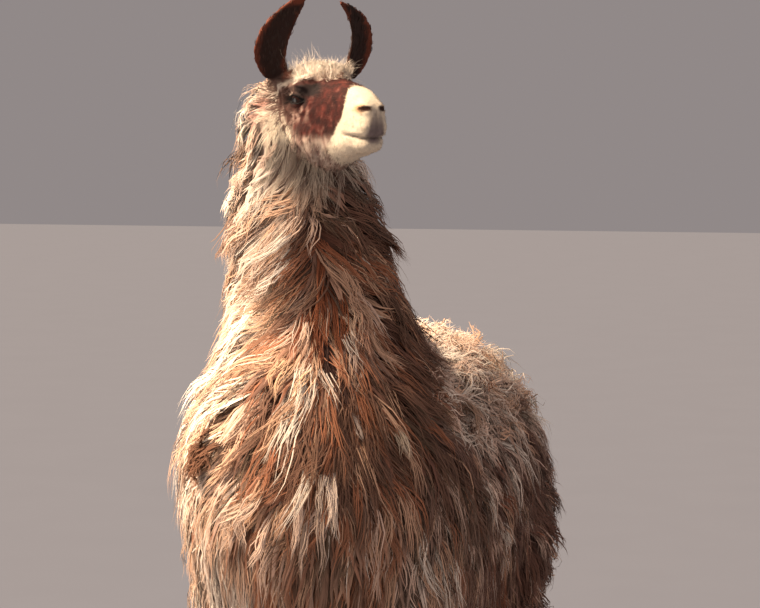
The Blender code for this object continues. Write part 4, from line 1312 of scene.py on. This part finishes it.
def forelock_tone(lock):
    """Pale cream, lighter and darker from lock to lock."""
    return (np.array(linear("#E6D2C0")) * np.exp(0.22 * rng.normal(size=(len(roots), 1))))[lock]


forelock = coat_piece("forelock", line, out, forelock_tone, FORELOCK, FORELOCK_LOOK, round_head, hair)
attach(forelock, "root")

# --- Floor, light and camera -----------------------------------------------------------
# A plain matt grey studio floor. A strong warm light, 20 degrees wide, stands high on the
# animal's right with a low broad one beside it, and a weak one on its left. The
# surroundings are pale.

select_only()
bpy.ops.mesh.primitive_plane_add(size=60)
floor = bpy.context.object
floor.name = "studio_floor"
painted, tree = new_material("matt pale floor paint")
place = add_node(tree, "TexCoord").outputs["Object"]
mottle = add_node(tree, "TexNoise", {"Vector": place, "Scale": 3, "Detail": 4})
tone = add_node(
    tree, "Mix", {0: mottle.outputs["Fac"], 6: (*linear("#62636D"), 1), 7: (*linear("#656670"), 1)},
    data_type="RGBA",
)
surface = add_node(tree, "BsdfPrincipled", {"Base Color": tone.outputs[2], "Roughness": 0.9})
add_node(tree, "OutputMaterial", {"Surface": surface.outputs[0]})
floor.data.materials.append(painted)

world = bpy.data.worlds.new("studio")
world.use_nodes = True
surroundings = world.node_tree.nodes["Background"]
surroundings.inputs["Color"].default_value = (*linear("#E0D4D3"), 1)
surroundings.inputs["Strength"].default_value = 0.38
bpy.context.scene.world = world


def add_light(name, kind, place, aim, size, power, hex_colour):
    """A light at a place, turned to its aim. Size is the angle of a sun and the width of an area."""
    lamp = bpy.data.lights.new(name, kind)
    lamp.energy = power
    if kind == "SUN":
        lamp.angle = size
    else:
        lamp.size = size
    lamp.color = linear(hex_colour)
    holder = new_object(name, lamp)
    holder.location = place
    holder.rotation_euler = (Vector(aim) - Vector(place)).to_track_quat("-Z", "Y").to_euler()


add_light("key", "SUN", (-3.26, -1.93, 5.83), (0, -0.2, 1.1), math.radians(20), 9.5, "#FFEBD0")
add_light("low_key", "AREA", (-4.2, -2.4, 1.1), (0, -0.3, 1.1), 3.0, 80, "#FFF0E0")
add_light("fill", "AREA", (3.5, -3.5, 2.2), (0, 0, 1.0), 2.5, 11, "#FAEEF4")

VIEW_AZIMUTH = math.radians(16)
VIEW_DISTANCE = 5.05
VIEW_HEIGHT = 1.55
VIEW_DROP = math.radians(3.998042)  # how far it looks down
FOCAL_SHARE = 3.6710526  # focal length over sensor width
bpy.ops.object.camera_add()
camera = bpy.context.object
camera.location = (
    math.sin(VIEW_AZIMUTH) * VIEW_DISTANCE, -math.cos(VIEW_AZIMUTH) * VIEW_DISTANCE, VIEW_HEIGHT
)
camera.rotation_euler = (math.radians(90) - VIEW_DROP, 0, VIEW_AZIMUTH)
camera.data.lens = FOCAL_SHARE * camera.data.sensor_width
bpy.context.scene.camera = camera
bpy.context.scene.view_settings.view_transform = "Standard"
